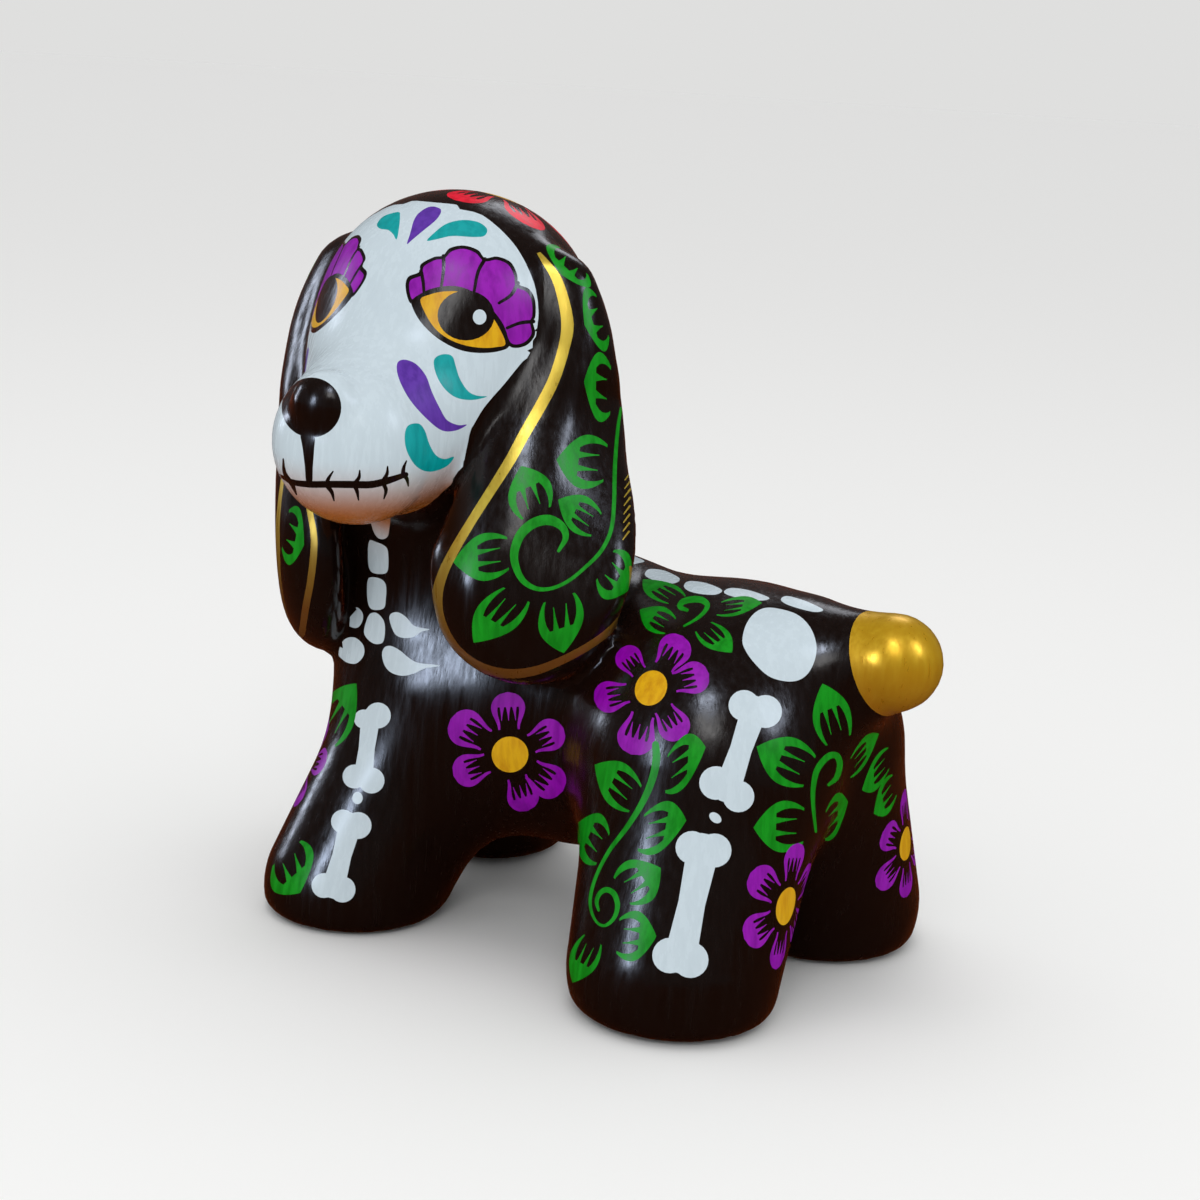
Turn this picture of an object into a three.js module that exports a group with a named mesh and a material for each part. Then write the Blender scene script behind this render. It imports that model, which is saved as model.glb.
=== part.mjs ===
// A chubby clay cocker spaniel figurine, cast as one piece: the body stands in profile and the head
// is turned to its left, with long thick ears, four stout legs and a stub of a tail.
// Millimetres, +Z up. The tail points to +X, the face looks along -Y, and the feet stand on Z = 0.
import * as THREE from 'three';

// Driving dimensions
const cell = 4.7;                    // size of one sampling cell
const soleRound = 4;                 // rounding where a leg meets its flat sole

const body = {
  chest: { at: [-34, 0, 60], radii: [28, 28, 31] },
  barrel: { from: [-36, 0, 67], to: [36, 0, 57], radius: 25.5 },
  belly: { at: [0, 0, 51.5], radii: [39, 29.5, 32.5] },
  rump: { at: [42.5, 0, 60.5], radii: [25, 34, 25] },
  blend: 14,
  bellyBlend: 10,
};
const legs = {
  front: { hip: [-31, 12.5, 46], foot: [-40, 32, 5.5], hipRadius: 22, footRadius: 21 },
  hind: { hip: [46, 17, 46], foot: [49.5, 31, 9.5], hipRadius: 25.5, footRadius: 23 },
  rightStep: -11,                    // the right forefoot stands this much further forward
  blend: 17.5,
  crotch: 5,                         // rounding between the left and right legs
};
const tail = { root: [62, 0, 73], tip: [78.5, 1.5, 76.5], rootRadius: 12.5, tipRadius: 10.5, blend: 14 };
const neck = { from: [-38, 0, 78], to: [-35, -12.5, 122], fromRadius: 28, toRadius: 30, blend: 12 };

// The head is laid out in its own frame: side (to an ear), fore (to the nose), up
const head = {
  at: [-32.5, -12.5, 134],
  turn: 8,                           // degrees that the face is turned from -Y towards the tail
  nod: 1,                            // degrees that the nose is lifted
  skull: { at: [0, 0, 5], radii: [31, 31, 28] },
  muzzle: { from: [0, 13.5, -12.5], to: [0, 39.5, -20.5], fromRadius: 24.5, toRadius: 18 },
  muzzleBlend: 10,
  nose: { at: [0, 51.5, -11.8], radii: [7.8, 6.6, 7.4] },
  noseBlend: 1.5,
  blend: 10,
};

// An ear is a thick flap on a bent surface. Circles in the side view give its outline.
const ear = {
  crown: { side: 34.8, fore: -6.3, up: -6 },   // where the bent surface stands furthest out
  bendTop: 37.5,                     // bending radius above the crown
  bendHang: 445,                     // bending radius below it, where the ear hangs nearly straight
  halfThickness: 7.4,
  outlineBlend: 6,
  blend: 3,
  right: {
    outline: [
      { fore: 1.4, up: 14.5, radius: 7.7 },
      { fore: 5.4, up: -18, radius: 14.8 },
      { fore: 2, up: -49.5, radius: 27.7 },
    ],
    bendFore: 41.5,                  // bending radius from front to back
  },
  // The left ear twists as it hangs, so that its lobe lies before the shoulder and faces out
  left: {
    outline: [
      { fore: 4, up: 16.5, radius: 6.5 },
      { fore: 5.5, up: -11, radius: 11.2 },
      { fore: 30, up: -52.5, radius: 18 },
    ],
    bendFore: 41.5,
    lobeBendFore: 95,
    twist: 44,                       // degrees
    twistFrom: -8,
    twistTo: -57.5,
    pivotFore: 43.5,
  },
  // Clay that joins the left ear to the neck and the shoulder
  web: { from: [4, -18, 86], to: [-8, -12, 118], fromRadius: 13, toRadius: 16, blend: 6 },
};

const radians = THREE.MathUtils.degToRad;
const dot = (a, b) => a.reduce((sum, v, i) => sum + v * b[i], 0);
const minus = (a, b) => a.map((v, i) => v - b[i]);

// Distance-like fields: negative inside, positive outside
function smoothMin(a, b, reach) {
  const h = Math.max(reach - Math.abs(a - b), 0) / reach;
  return Math.min(a, b) - h * h * reach * 0.25;
}

function smoothMax(a, b, reach) {
  return -smoothMin(-a, -b, reach);
}

function ellipsoid(p, { at, radii }) {
  const q = minus(p, at).map((v, i) => v / radii[i]);
  const g = q.map((v, i) => v / radii[i]);
  const k = Math.hypot(...q);
  return (k * (k - 1)) / (Math.hypot(...g) + 1e-9);
}

function taperedLimb(p, from, to, fromRadius, toRadius) {
  const axis = minus(to, from);
  const rel = minus(p, from);
  const t = THREE.MathUtils.clamp(dot(rel, axis) / dot(axis, axis), 0, 1);
  return Math.hypot(...rel.map((v, i) => v - axis[i] * t)) - THREE.MathUtils.lerp(fromRadius, toRadius, t);
}

// Two circles in a plane and their common tangents
function twoCircles(x, y, a, b) {
  const length = Math.hypot(b.fore - a.fore, b.up - a.up);
  const e = [(b.fore - a.fore) / length, (b.up - a.up) / length];
  const along = (x - a.fore) * e[0] + (y - a.up) * e[1];
  const across = Math.abs((x - a.fore) * e[1] - (y - a.up) * e[0]);
  const slope = (a.radius - b.radius) / length;
  const rise = Math.sqrt(1 - slope * slope);
  const k = rise * along - slope * across;
  if (k < 0) return Math.hypot(across, along) - a.radius;
  if (k > rise * length) return Math.hypot(across, along - length) - b.radius;
  return rise * across + slope * along - a.radius;
}

function trunkField(p) {
  const { chest, barrel, belly, rump, blend, bellyBlend } = body;
  let d = ellipsoid(p, chest);
  d = smoothMin(d, taperedLimb(p, barrel.from, barrel.to, barrel.radius, barrel.radius), blend);
  d = smoothMin(d, ellipsoid(p, belly), bellyBlend);
  return smoothMin(d, ellipsoid(p, rump), blend);
}

function legField(p) {
  let d = 1000;
  for (const side of [-1, 1]) {
    for (const leg of [legs.front, legs.hind]) {
      const step = side > 0 && leg === legs.front ? legs.rightStep : 0;
      const hip = [leg.hip[0], side * leg.hip[1], leg.hip[2]];
      const foot = [leg.foot[0] + step, side * leg.foot[1], leg.foot[2]];
      d = smoothMin(d, taperedLimb(p, hip, foot, leg.hipRadius, leg.footRadius), legs.crotch);
    }
  }
  return d;
}

function toHead(p) {
  const [x, y, z] = minus(p, head.at);
  const turn = radians(head.turn);
  const nod = radians(head.nod);
  const side = Math.cos(turn) * x + Math.sin(turn) * y;
  const level = Math.sin(turn) * x - Math.cos(turn) * y;
  const fore = Math.cos(nod) * level + Math.sin(nod) * z;
  const up = Math.cos(nod) * z - Math.sin(nod) * level;
  return [side, fore, up];
}

function headField(q) {
  const { skull, muzzle, muzzleBlend, nose, noseBlend } = head;
  let d = ellipsoid(q, skull);
  d = smoothMin(d, taperedLimb(q, muzzle.from, muzzle.to, muzzle.fromRadius, muzzle.toRadius), muzzleBlend);
  return smoothMin(d, ellipsoid(q, nose), noseBlend);
}

function earSheet(side, fore, up, { outline, bendFore }) {
  const [top, middle, lobe] = outline;
  const edge = smoothMin(twoCircles(fore, up, top, middle), twoCircles(fore, up, middle, lobe), ear.outlineBlend);
  const f = fore - ear.crown.fore;
  const u = up - ear.crown.up;
  const bendUp = u > 0 ? ear.bendTop : ear.bendHang;
  const surface = ear.crown.side - (f * f) / (2 * bendFore) - (u * u) / (2 * bendUp);
  const steepFore = Math.min(Math.abs(f / bendFore), 1);
  const steepUp = Math.min(Math.abs(u / bendUp), 1);
  const off = (side - surface) / Math.hypot(1, steepFore, steepUp);
  return Math.hypot(Math.max(edge + ear.halfThickness, 0), off) - ear.halfThickness;
}

function rightEarField([side, fore, up]) {
  return earSheet(-side, fore, up, ear.right);
}

function leftEarField([side, fore, up]) {
  const { outline, bendFore, lobeBendFore, twist, twistFrom, twistTo, pivotFore } = ear.left;
  const share = THREE.MathUtils.smoothstep(-up, -twistFrom, -twistTo);
  const angle = radians(twist) * share;
  const a = side - ear.crown.side;
  const b = fore - pivotFore;
  const bend = 1 / THREE.MathUtils.lerp(1 / bendFore, 1 / lobeBendFore, share);
  return earSheet(
    ear.crown.side + Math.cos(angle) * a + Math.sin(angle) * b,
    pivotFore - Math.sin(angle) * a + Math.cos(angle) * b,
    up,
    { outline, bendFore: bend },
  );
}

function figurineField(x, y, z) {
  const p = [x, y, z];
  const q = toHead(p);
  let d = smoothMin(trunkField(p), legField(p), legs.blend);
  d = smoothMin(d, taperedLimb(p, neck.from, neck.to, neck.fromRadius, neck.toRadius), neck.blend);
  d = smoothMin(d, taperedLimb(p, tail.root, tail.tip, tail.rootRadius, tail.tipRadius), tail.blend);
  d = smoothMin(d, headField(q), head.blend);
  const { web } = ear;
  d = smoothMin(d, taperedLimb(p, web.from, web.to, web.fromRadius, web.toRadius), web.blend);
  d = smoothMin(d, Math.min(rightEarField(q), leftEarField(q)), ear.blend);
  return smoothMax(d, -z, soleRound);
}

// Moves a point along the field's slope until it lies on the surface
function settle(field, p) {
  const passes = 4;
  const h = 0.05;
  let q = p;
  for (let pass = 0; pass < passes; pass++) {
    const d = field(...q);
    const slope = [0, 1, 2].map((c) => {
      const r = [...q];
      r[c] += h;
      return (field(...r) - d) / h;
    });
    const size = dot(slope, slope) || 1;
    q = q.map((v, c) => v - (d * slope[c]) / size);
  }
  return q;
}

// A quad is cut along its shorter diagonal
function splitQuad([a, b, c, d], points) {
  const gap = (m, n) => Math.hypot(...minus(points[m], points[n]));
  return gap(a, c) < gap(b, d) ? [a, b, c, a, c, d] : [b, c, d, b, d, a];
}

// The edges of a unit cell along each axis, and its faces with their corners in order
const cellEdges = [];
const cellFaces = [];
for (let axis = 0; axis < 3; axis++) {
  const corner = (w, u, v) => {
    const c = [0, 0, 0];
    c[axis] = w;
    c[(axis + 1) % 3] = u;
    c[(axis + 2) % 3] = v;
    return c;
  };
  const round = [[0, 0], [1, 0], [1, 1], [0, 1]];
  cellEdges.push(...round.map(([u, v]) => [corner(0, u, v), corner(1, u, v)]));
  cellFaces.push(...[0, 1].map((w) => round.map(([u, v]) => corner(w, u, v))));
}

// An edge is known by twice its middle
const keyOf = (a, b) => a.map((v, i) => v + b[i]).join();

// Sorts a cell's crossed edges into the separate sheets of surface that pass through the cell
function sheetsOf(valueAt) {
  const inside = (c) => valueAt(c) < 0;
  const sheets = cellEdges
    .filter(([a, b]) => inside(a) !== inside(b))
    .map(([a, b]) => {
      const t = valueAt(a) / (valueAt(a) - valueAt(b));
      return [{ key: keyOf(a, b), at: a.map((v, i) => v + t * (b[i] - v)) }];
    });
  const join = (first, second) => {
    const [m, n] = [first, second].map((key) => sheets.findIndex((sheet) => sheet.some((e) => e.key === key)));
    if (m !== n) sheets[m].push(...sheets.splice(n, 1, [])[0]);
  };
  for (const face of cellFaces) {
    const c = (i) => face[i % 4];
    for (let i = 0; i < 4; i++) {
      if (inside(c(i)) || !inside(c(i + 1))) continue;
      let j = i + 1;
      while (inside(c(j + 1))) j++;
      join(keyOf(c(i), c(i + 1)), keyOf(c(j), c(j + 1)));
    }
  }
  return sheets.filter((sheet) => sheet.length);
}

// Surface nets: a vertex for each sheet in a cell, and a quad round each grid edge that the surface crosses
function surfaceOf(field, low, high, step) {
  const n = low.map((v, i) => Math.ceil((high[i] - v) / step) + 1);
  const at = ([i, j, k]) => (k * n[1] + j) * n[0] + i;
  const values = new Float64Array(n[0] * n[1] * n[2]);
  const corners = [];
  for (let k = 0; k < n[2]; k++) {
    for (let j = 0; j < n[1]; j++) {
      for (let i = 0; i < n[0]; i++) {
        values[at([i, j, k])] = field(low[0] + i * step, low[1] + j * step, low[2] + k * step);
        if (i && j && k) corners.push([i, j, k]);
      }
    }
  }

  const points = [];
  const pointOf = new Map();
  for (const corner of corners) {
    const cellAt = corner.map((v) => v - 1);
    for (const sheet of sheetsOf((c) => values[at(cellAt.map((v, i) => v + c[i]))])) {
      const mean = [0, 1, 2].map((c) => sheet.reduce((sum, e) => sum + e.at[c], 0) / sheet.length);
      sheet.forEach((e) => pointOf.set(`${at(cellAt)}:${e.key}`, points.length));
      points.push(settle(field, cellAt.map((v, c) => low[c] + (v + mean[c]) * step)));
    }
  }

  const index = [];
  for (const corner of corners) {
    const inside = values[at(corner)] < 0;
    for (let axis = 0; axis < 3; axis++) {
      const next = [...corner];
      next[axis]++;
      if (next[axis] === n[axis] || inside === values[at(next)] < 0) continue;
      const quad = [[0, 0], [-1, 0], [-1, -1], [0, -1]].map(([u, v]) => {
        const cellAt = [...corner];
        cellAt[(axis + 1) % 3] += u;
        cellAt[(axis + 2) % 3] += v;
        return pointOf.get(`${at(cellAt)}:${keyOf(minus(corner, cellAt), minus(next, cellAt))}`);
      });
      if (!inside) quad.reverse();
      index.push(...splitQuad(quad, points));
    }
  }

  const geometry = new THREE.BufferGeometry();
  geometry.setAttribute('position', new THREE.Float32BufferAttribute(points.flat(), 3));
  geometry.setIndex(index);
  geometry.computeVertexNormals();
  return geometry;
}

// The whole figurine, set with the middle of its footprint box at the origin
const geometry = surfaceOf(figurineField, [-90, -90, -6], [105, 70, 175], cell);
geometry.computeBoundingBox();
const middle = geometry.boundingBox.getCenter(new THREE.Vector3());
geometry.translate(-middle.x, -middle.y, 0);

const figurine = new THREE.Mesh(
  geometry,
  new THREE.MeshStandardMaterial({ color: '#17110f', roughness: 0.25, metalness: 0 }),
);
figurine.name = 'spaniel_figurine';

const group = new THREE.Group();
group.add(figurine);
export default group;
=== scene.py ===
import math
import bpy
import numpy as np
from mathutils import Matrix, Vector
from mathutils.bvhtree import BVHTree
from mathutils.geometry import delaunay_2d_cdt


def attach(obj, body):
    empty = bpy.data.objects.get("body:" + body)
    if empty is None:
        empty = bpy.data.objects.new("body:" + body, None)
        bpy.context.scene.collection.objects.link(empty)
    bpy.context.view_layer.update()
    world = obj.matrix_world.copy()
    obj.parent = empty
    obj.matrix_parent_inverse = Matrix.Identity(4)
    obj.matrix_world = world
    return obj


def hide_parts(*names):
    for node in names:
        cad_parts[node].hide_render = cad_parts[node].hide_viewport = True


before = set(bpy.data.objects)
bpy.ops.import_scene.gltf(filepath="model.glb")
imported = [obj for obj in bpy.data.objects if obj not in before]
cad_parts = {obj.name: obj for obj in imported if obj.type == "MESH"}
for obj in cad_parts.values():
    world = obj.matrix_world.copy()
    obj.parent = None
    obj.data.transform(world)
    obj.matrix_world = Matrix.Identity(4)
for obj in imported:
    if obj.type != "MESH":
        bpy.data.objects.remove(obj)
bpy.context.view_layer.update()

mm = 0.001

# The clay form in millimetres: tail to +X, face along -Y, soles on Z = 0.
# The sizes are those of the part's source, sampled finer.
clay = {
    "cell": 2.0,                    # size of a sampling cell
    "low": (-80.0, -76.0, -6.0),
    "high": (94.0, 60.0, 172.0),
    "middle": (7.0754, -8.1515, 0.0),  # middle of the footprint, moved to the origin
    "soleRound": 4.0,
}
body = {
    "chestAt": (-34, 0, 60), "chestRadii": (28, 28, 31),
    "barrelFrom": (-36, 0, 67), "barrelTo": (36, 0, 57), "barrelRadius": 25.5,
    "bellyAt": (0, 0, 51.5), "bellyRadii": (39, 29.5, 32.5),
    "rumpAt": (42.5, 0, 60.5), "rumpRadii": (25, 34, 25),
    "blend": 14, "bellyBlend": 10,
}
legs = {
    "frontHip": (-31, 12.5, 46), "frontFoot": (-40, 32, 5.5), "frontRadii": (22, 21),
    "hindHip": (46, 17, 46), "hindFoot": (49.5, 31, 9.5), "hindRadii": (25.5, 23),
    "rightStep": -11, "blend": 17.5, "crotch": 5,
}
tail = {"root": (62, 0, 73), "tip": (78.5, 1.5, 76.5), "radii": (12.5, 10.5), "blend": 14}
neck = {"low": (-38, 0, 78), "high": (-35, -12.5, 122), "radii": (28, 30), "blend": 12}
head = {
    "at": (-32.5, -12.5, 134), "turn": 8, "nod": 1,   # turn and nod in degrees
    "skullAt": (0, 0, 5), "skullRadii": (31, 31, 28),
    "muzzleFrom": (0, 13.5, -12.5), "muzzleTo": (0, 39.5, -20.5), "muzzleRadii": (24.5, 18),
    "noseAt": (0, 51.5, -11.8), "noseRadii": (7.8, 6.6, 7.4),
    "muzzleBlend": 10, "noseBlend": 1.5, "blend": 10,
}
ear = {
    "crown": (34.8, -6.3, -6), "bendTop": 37.5, "bendHang": 445,
    "halfThickness": 7.4, "outlineBlend": 6, "blend": 3, "bendFore": 41.5,
    "right": ((1.4, 14.5, 7.7), (5.4, -18, 14.8), (2, -49.5, 27.7)),   # fore, up, radius
    "left": ((4, 16.5, 6.5), (5.5, -11, 11.2), (30, -52.5, 18)),
    "lobeBendFore": 95, "twist": 44, "twistFrom": 8, "twistTo": 57.5, "pivotFore": 43.5,
    "webFrom": (4, -18, 86), "webTo": (-8, -12, 118), "webRadii": (13, 16), "webBlend": 6,
}


def smoothMin(a, b, reach):
    h = np.maximum(reach - np.abs(a - b), 0) / reach
    return np.minimum(a, b) - h * h * reach * 0.25


def ellipsoid(p, at, radii):
    q = (p - np.array(at)) / np.array(radii)
    k = np.linalg.norm(q, axis=-1)
    return k * (k - 1) / (np.linalg.norm(q / np.array(radii), axis=-1) + 1e-9)


def taperedLimb(p, start, end, radii):
    start, end = np.array(start, float), np.array(end, float)
    axis, rel = end - start, p - start
    t = np.clip(rel @ axis / (axis @ axis), 0, 1)
    return np.linalg.norm(rel - t[:, None] * axis, axis=-1) - (radii[0] + (radii[1] - radii[0]) * t)


def twoCircles(x, y, a, b):
    # two circles in a plane and their common tangents
    length = math.hypot(b[0] - a[0], b[1] - a[1])
    e = ((b[0] - a[0]) / length, (b[1] - a[1]) / length)
    along = (x - a[0]) * e[0] + (y - a[1]) * e[1]
    across = np.abs((x - a[0]) * e[1] - (y - a[1]) * e[0])
    slope = (a[2] - b[2]) / length
    rise = math.sqrt(1 - slope * slope)
    k = rise * along - slope * across
    side = rise * across + slope * along - a[2]
    side = np.where(k < 0, np.hypot(across, along) - a[2], side)
    return np.where(k > rise * length, np.hypot(across, along - length) - b[2], side)


def trunkField(p):
    d = ellipsoid(p, body["chestAt"], body["chestRadii"])
    barrel = taperedLimb(p, body["barrelFrom"], body["barrelTo"], (body["barrelRadius"],) * 2)
    d = smoothMin(d, barrel, body["blend"])
    d = smoothMin(d, ellipsoid(p, body["bellyAt"], body["bellyRadii"]), body["bellyBlend"])
    return smoothMin(d, ellipsoid(p, body["rumpAt"], body["rumpRadii"]), body["blend"])


def legField(p):
    d = np.full(len(p), 1000.0)
    for side in (-1, 1):
        for name in ("front", "hind"):
            step = legs["rightStep"] if side > 0 and name == "front" else 0
            hip = np.array(legs[name + "Hip"]) * (1, side, 1)
            foot = np.array(legs[name + "Foot"]) * (1, side, 1) + (step, 0, 0)
            d = smoothMin(d, taperedLimb(p, hip, foot, legs[name + "Radii"]), legs["crotch"])
    return d


def toHead(p):
    # side (to the left ear), fore (to the nose) and up, in the head's own frame
    x, y, z = (p - np.array(head["at"])).T
    turn, nod = math.radians(head["turn"]), math.radians(head["nod"])
    side = math.cos(turn) * x + math.sin(turn) * y
    level = math.sin(turn) * x - math.cos(turn) * y
    fore = math.cos(nod) * level + math.sin(nod) * z
    up = math.cos(nod) * z - math.sin(nod) * level
    return np.stack([side, fore, up], -1)


def fromHead(q):
    turn, nod = math.radians(head["turn"]), math.radians(head["nod"])
    side, fore, up = q.T
    level = math.cos(nod) * fore - math.sin(nod) * up
    z = math.sin(nod) * fore + math.cos(nod) * up
    x = math.cos(turn) * side + math.sin(turn) * level
    y = math.sin(turn) * side - math.cos(turn) * level
    return np.stack([x, y, z], -1) + np.array(head["at"])


def headField(q):
    d = ellipsoid(q, head["skullAt"], head["skullRadii"])
    muzzle = taperedLimb(q, head["muzzleFrom"], head["muzzleTo"], head["muzzleRadii"])
    d = smoothMin(d, muzzle, head["muzzleBlend"])
    return smoothMin(d, ellipsoid(q, head["noseAt"], head["noseRadii"]), head["noseBlend"])


def earSheet(side, fore, up, outline, bendFore):
    edge = smoothMin(
        twoCircles(fore, up, outline[0], outline[1]),
        twoCircles(fore, up, outline[1], outline[2]),
        ear["outlineBlend"],
    )
    f, u = fore - ear["crown"][1], up - ear["crown"][2]
    bendUp = np.where(u > 0, ear["bendTop"], ear["bendHang"])
    surface = ear["crown"][0] - f * f / (2 * bendFore) - u * u / (2 * bendUp)
    steepFore = np.minimum(np.abs(f / bendFore), 1)
    steepUp = np.minimum(np.abs(u / bendUp), 1)
    off = (side - surface) / np.sqrt(1 + steepFore**2 + steepUp**2)
    return np.hypot(np.maximum(edge + ear["halfThickness"], 0), off) - ear["halfThickness"]


def rightEarField(q):
    return earSheet(-q[:, 0], q[:, 1], q[:, 2], ear["right"], ear["bendFore"])


def leftEarField(q):
    # this ear twists as it hangs, so that its lobe lies before the shoulder and faces out
    share = np.clip((-q[:, 2] - ear["twistFrom"]) / (ear["twistTo"] - ear["twistFrom"]), 0, 1)
    share = share * share * (3 - 2 * share)
    angle = math.radians(ear["twist"]) * share
    a, b = q[:, 0] - ear["crown"][0], q[:, 1] - ear["pivotFore"]
    bend = 1 / (1 / ear["bendFore"] + share * (1 / ear["lobeBendFore"] - 1 / ear["bendFore"]))
    side = ear["crown"][0] + np.cos(angle) * a + np.sin(angle) * b
    fore = ear["pivotFore"] - np.sin(angle) * a + np.cos(angle) * b
    return earSheet(side, fore, q[:, 2], ear["left"], bend)


def partFields(p):
    q = toHead(p)
    trunk = smoothMin(trunkField(p), legField(p), legs["blend"])
    neckPart = taperedLimb(p, neck["low"], neck["high"], neck["radii"])
    web = taperedLimb(p, ear["webFrom"], ear["webTo"], ear["webRadii"])
    stub = taperedLimb(p, tail["root"], tail["tip"], tail["radii"])
    return trunk, neckPart, stub, headField(q), web, leftEarField(q), rightEarField(q)


def figureField(p):
    trunk, neckPart, stub, skull, web, leftEar, rightEar = partFields(p)
    d = smoothMin(trunk, neckPart, neck["blend"])
    d = smoothMin(d, stub, tail["blend"])
    d = smoothMin(d, skull, head["blend"])
    d = smoothMin(d, web, ear["webBlend"])
    d = smoothMin(d, np.minimum(leftEar, rightEar), ear["blend"])
    return -smoothMin(-d, p[:, 2], clay["soleRound"])


def slopeOf(p, h=0.03):
    # the field's slope, taken h millimetres to either side
    return np.stack([(figureField(p + h * e) - figureField(p - h * e)) / (2 * h) for e in np.eye(3)], -1)


def surfaceNets(low, high, step):
    # one point in each cell that the surface crosses, and a quad round each crossed cell edge
    low = np.array(low)
    n = np.ceil((np.array(high) - low) / step).astype(int) + 1
    axes = [low[i] + step * np.arange(n[i]) for i in range(3)]
    values = np.concatenate([
        figureField(np.stack(np.meshgrid([x], axes[1], axes[2], indexing="ij"), -1).reshape(-1, 3))
        for x in axes[0]
    ]).reshape(n)
    inside = values < 0
    total = np.zeros(tuple(n - 1) + (3,))
    count = np.zeros(tuple(n - 1))
    crossings = []
    for axis in range(3):
        first, second = [slice(None)] * 3, [slice(None)] * 3
        first[axis], second[axis] = slice(0, -1), slice(1, None)
        v0, v1 = values[tuple(first)], values[tuple(second)]
        where = np.argwhere((v0 < 0) != (v1 < 0))
        key = tuple(where.T)
        at = where.astype(float)
        at[:, axis] += v0[key] / (v0[key] - v1[key])
        b, c = (axis + 1) % 3, (axis + 2) % 3
        ring = []
        for db, dc in ((0, 0), (-1, 0), (-1, -1), (0, -1)):
            cell = where.copy()
            cell[:, b] += db
            cell[:, c] += dc
            np.add.at(total, tuple(cell.T), at)
            np.add.at(count, tuple(cell.T), 1)
            ring.append(cell)
        crossings.append((ring, inside[key]))
    number = -np.ones(count.shape, int)
    number[count > 0] = np.arange((count > 0).sum())
    points = low + step * total[count > 0] / count[count > 0][:, None]
    quads, made = [], []
    for axis, (ring, isInside) in enumerate(crossings):
        quad = np.stack([number[tuple(cell.T)] for cell in ring], 1)
        quad[~isInside] = quad[~isInside][:, ::-1]
        quads.append(quad)
        made.append(np.column_stack([np.full(len(quad), axis), ring[0]]))
    return parted(points, np.concatenate(quads), np.concatenate(made), np.argwhere(count > 0), inside)


def parted(points, quads, made, cells, inside):
    # where two sheets of the surface pass through one cell, each sheet gets its own point
    edges = np.sort(quads[:, [0, 1, 1, 2, 2, 3, 3, 0]].reshape(-1, 2), axis=1)
    pairs, uses = np.unique(edges, axis=0, return_counts=True)
    madeBy = {tuple(m): i for i, m in enumerate(made.tolist())}
    points = points.tolist()
    for v in np.unique(pairs[uses > 2]).tolist():
        around = np.nonzero((quads == v).any(1))[0].tolist()
        group = {i: i for i in around}

        def quadOf(p, q):
            axis = int(np.nonzero(np.array(p) != np.array(q))[0][0])
            return madeBy[(axis, *np.minimum(p, q).tolist())]

        for axis in range(3):
            for w in (0, 1):
                ring = []
                for u, t in ((0, 0), (1, 0), (1, 1), (0, 1)):
                    corner = list(cells[v])
                    corner[axis] += w
                    corner[(axis + 1) % 3] += u
                    corner[(axis + 2) % 3] += t
                    ring.append(tuple(corner))
                state = [bool(inside[c]) for c in ring]
                for i in range(4):
                    if state[i] or not state[(i + 1) % 4]:
                        continue
                    j = i + 1
                    while state[(j + 1) % 4]:
                        j += 1
                    first = group[quadOf(ring[i], ring[(i + 1) % 4])]
                    second = group[quadOf(ring[j % 4], ring[(j + 1) % 4])]
                    group = {k: first if g == second else g for k, g in group.items()}
        for sheet in sorted(set(group.values()))[1:]:
            for i in around:
                if group[i] == sheet:
                    quads[i][quads[i] == v] = len(points)
            points.append(list(points[v]))
    return np.array(points), quads


def settle(points, passes=4, leastSlope=0.05):
    # moves the points along the slope until they lie on the clay
    for _ in range(passes):
        slope = slopeOf(points)
        size = np.maximum((slope * slope).sum(-1), leastSlope)
        points = points - (figureField(points) / size)[:, None] * slope
    return points


def clayFigure():
    points, quads = surfaceNets(clay["low"], clay["high"], clay["cell"])
    points = settle(points)
    a, b, c, d = (points[quads[:, i]] for i in range(4))
    short = np.linalg.norm(a - c, axis=1) < np.linalg.norm(b - d, axis=1)
    first = np.where(short[:, None], quads[:, [0, 1, 2]], quads[:, [1, 2, 3]])
    second = np.where(short[:, None], quads[:, [0, 2, 3]], quads[:, [3, 0, 1]])
    faces = np.concatenate([first, second])
    return {"points": points, "faces": faces, "paint": np.zeros(len(faces), int)}


def openEdges(faces):
    edges = np.sort(faces[:, [0, 1, 1, 2, 2, 0]].reshape(-1, 2), axis=1)
    _, uses = np.unique(edges, axis=0, return_counts=True)
    return int((uses != 2).sum())


figure = clayFigure()
print("clay:", len(figure["faces"]), "triangles, open edges", openEdges(figure["faces"]))


# the photographer's viewpoint, which also lays out the painting
viewpoint = {
    "azimuth": 34.844, "elevation": 12.587, "roll": 3.468,    # degrees
    "distance": 537.175, "target": (3.026, 0.0, 76.829),       # millimetres
    "focal": 2346.4, "frame": 1200,                            # in steps of the 1200 wide frame
}


def viewAxes():
    az, el, roll = (math.radians(viewpoint[k]) for k in ("azimuth", "elevation", "roll"))
    back = np.array([math.sin(az) * math.cos(el), -math.cos(az) * math.cos(el), math.sin(el)])
    right = np.array([math.cos(az), math.sin(az), 0])
    up = np.cross(back, right)
    across = math.cos(roll) * right + math.sin(roll) * up
    upward = -math.sin(roll) * right + math.cos(roll) * up
    return across, upward, back


def viewPoint():
    return np.array(viewpoint["target"]) + viewpoint["distance"] * viewAxes()[2]


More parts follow.
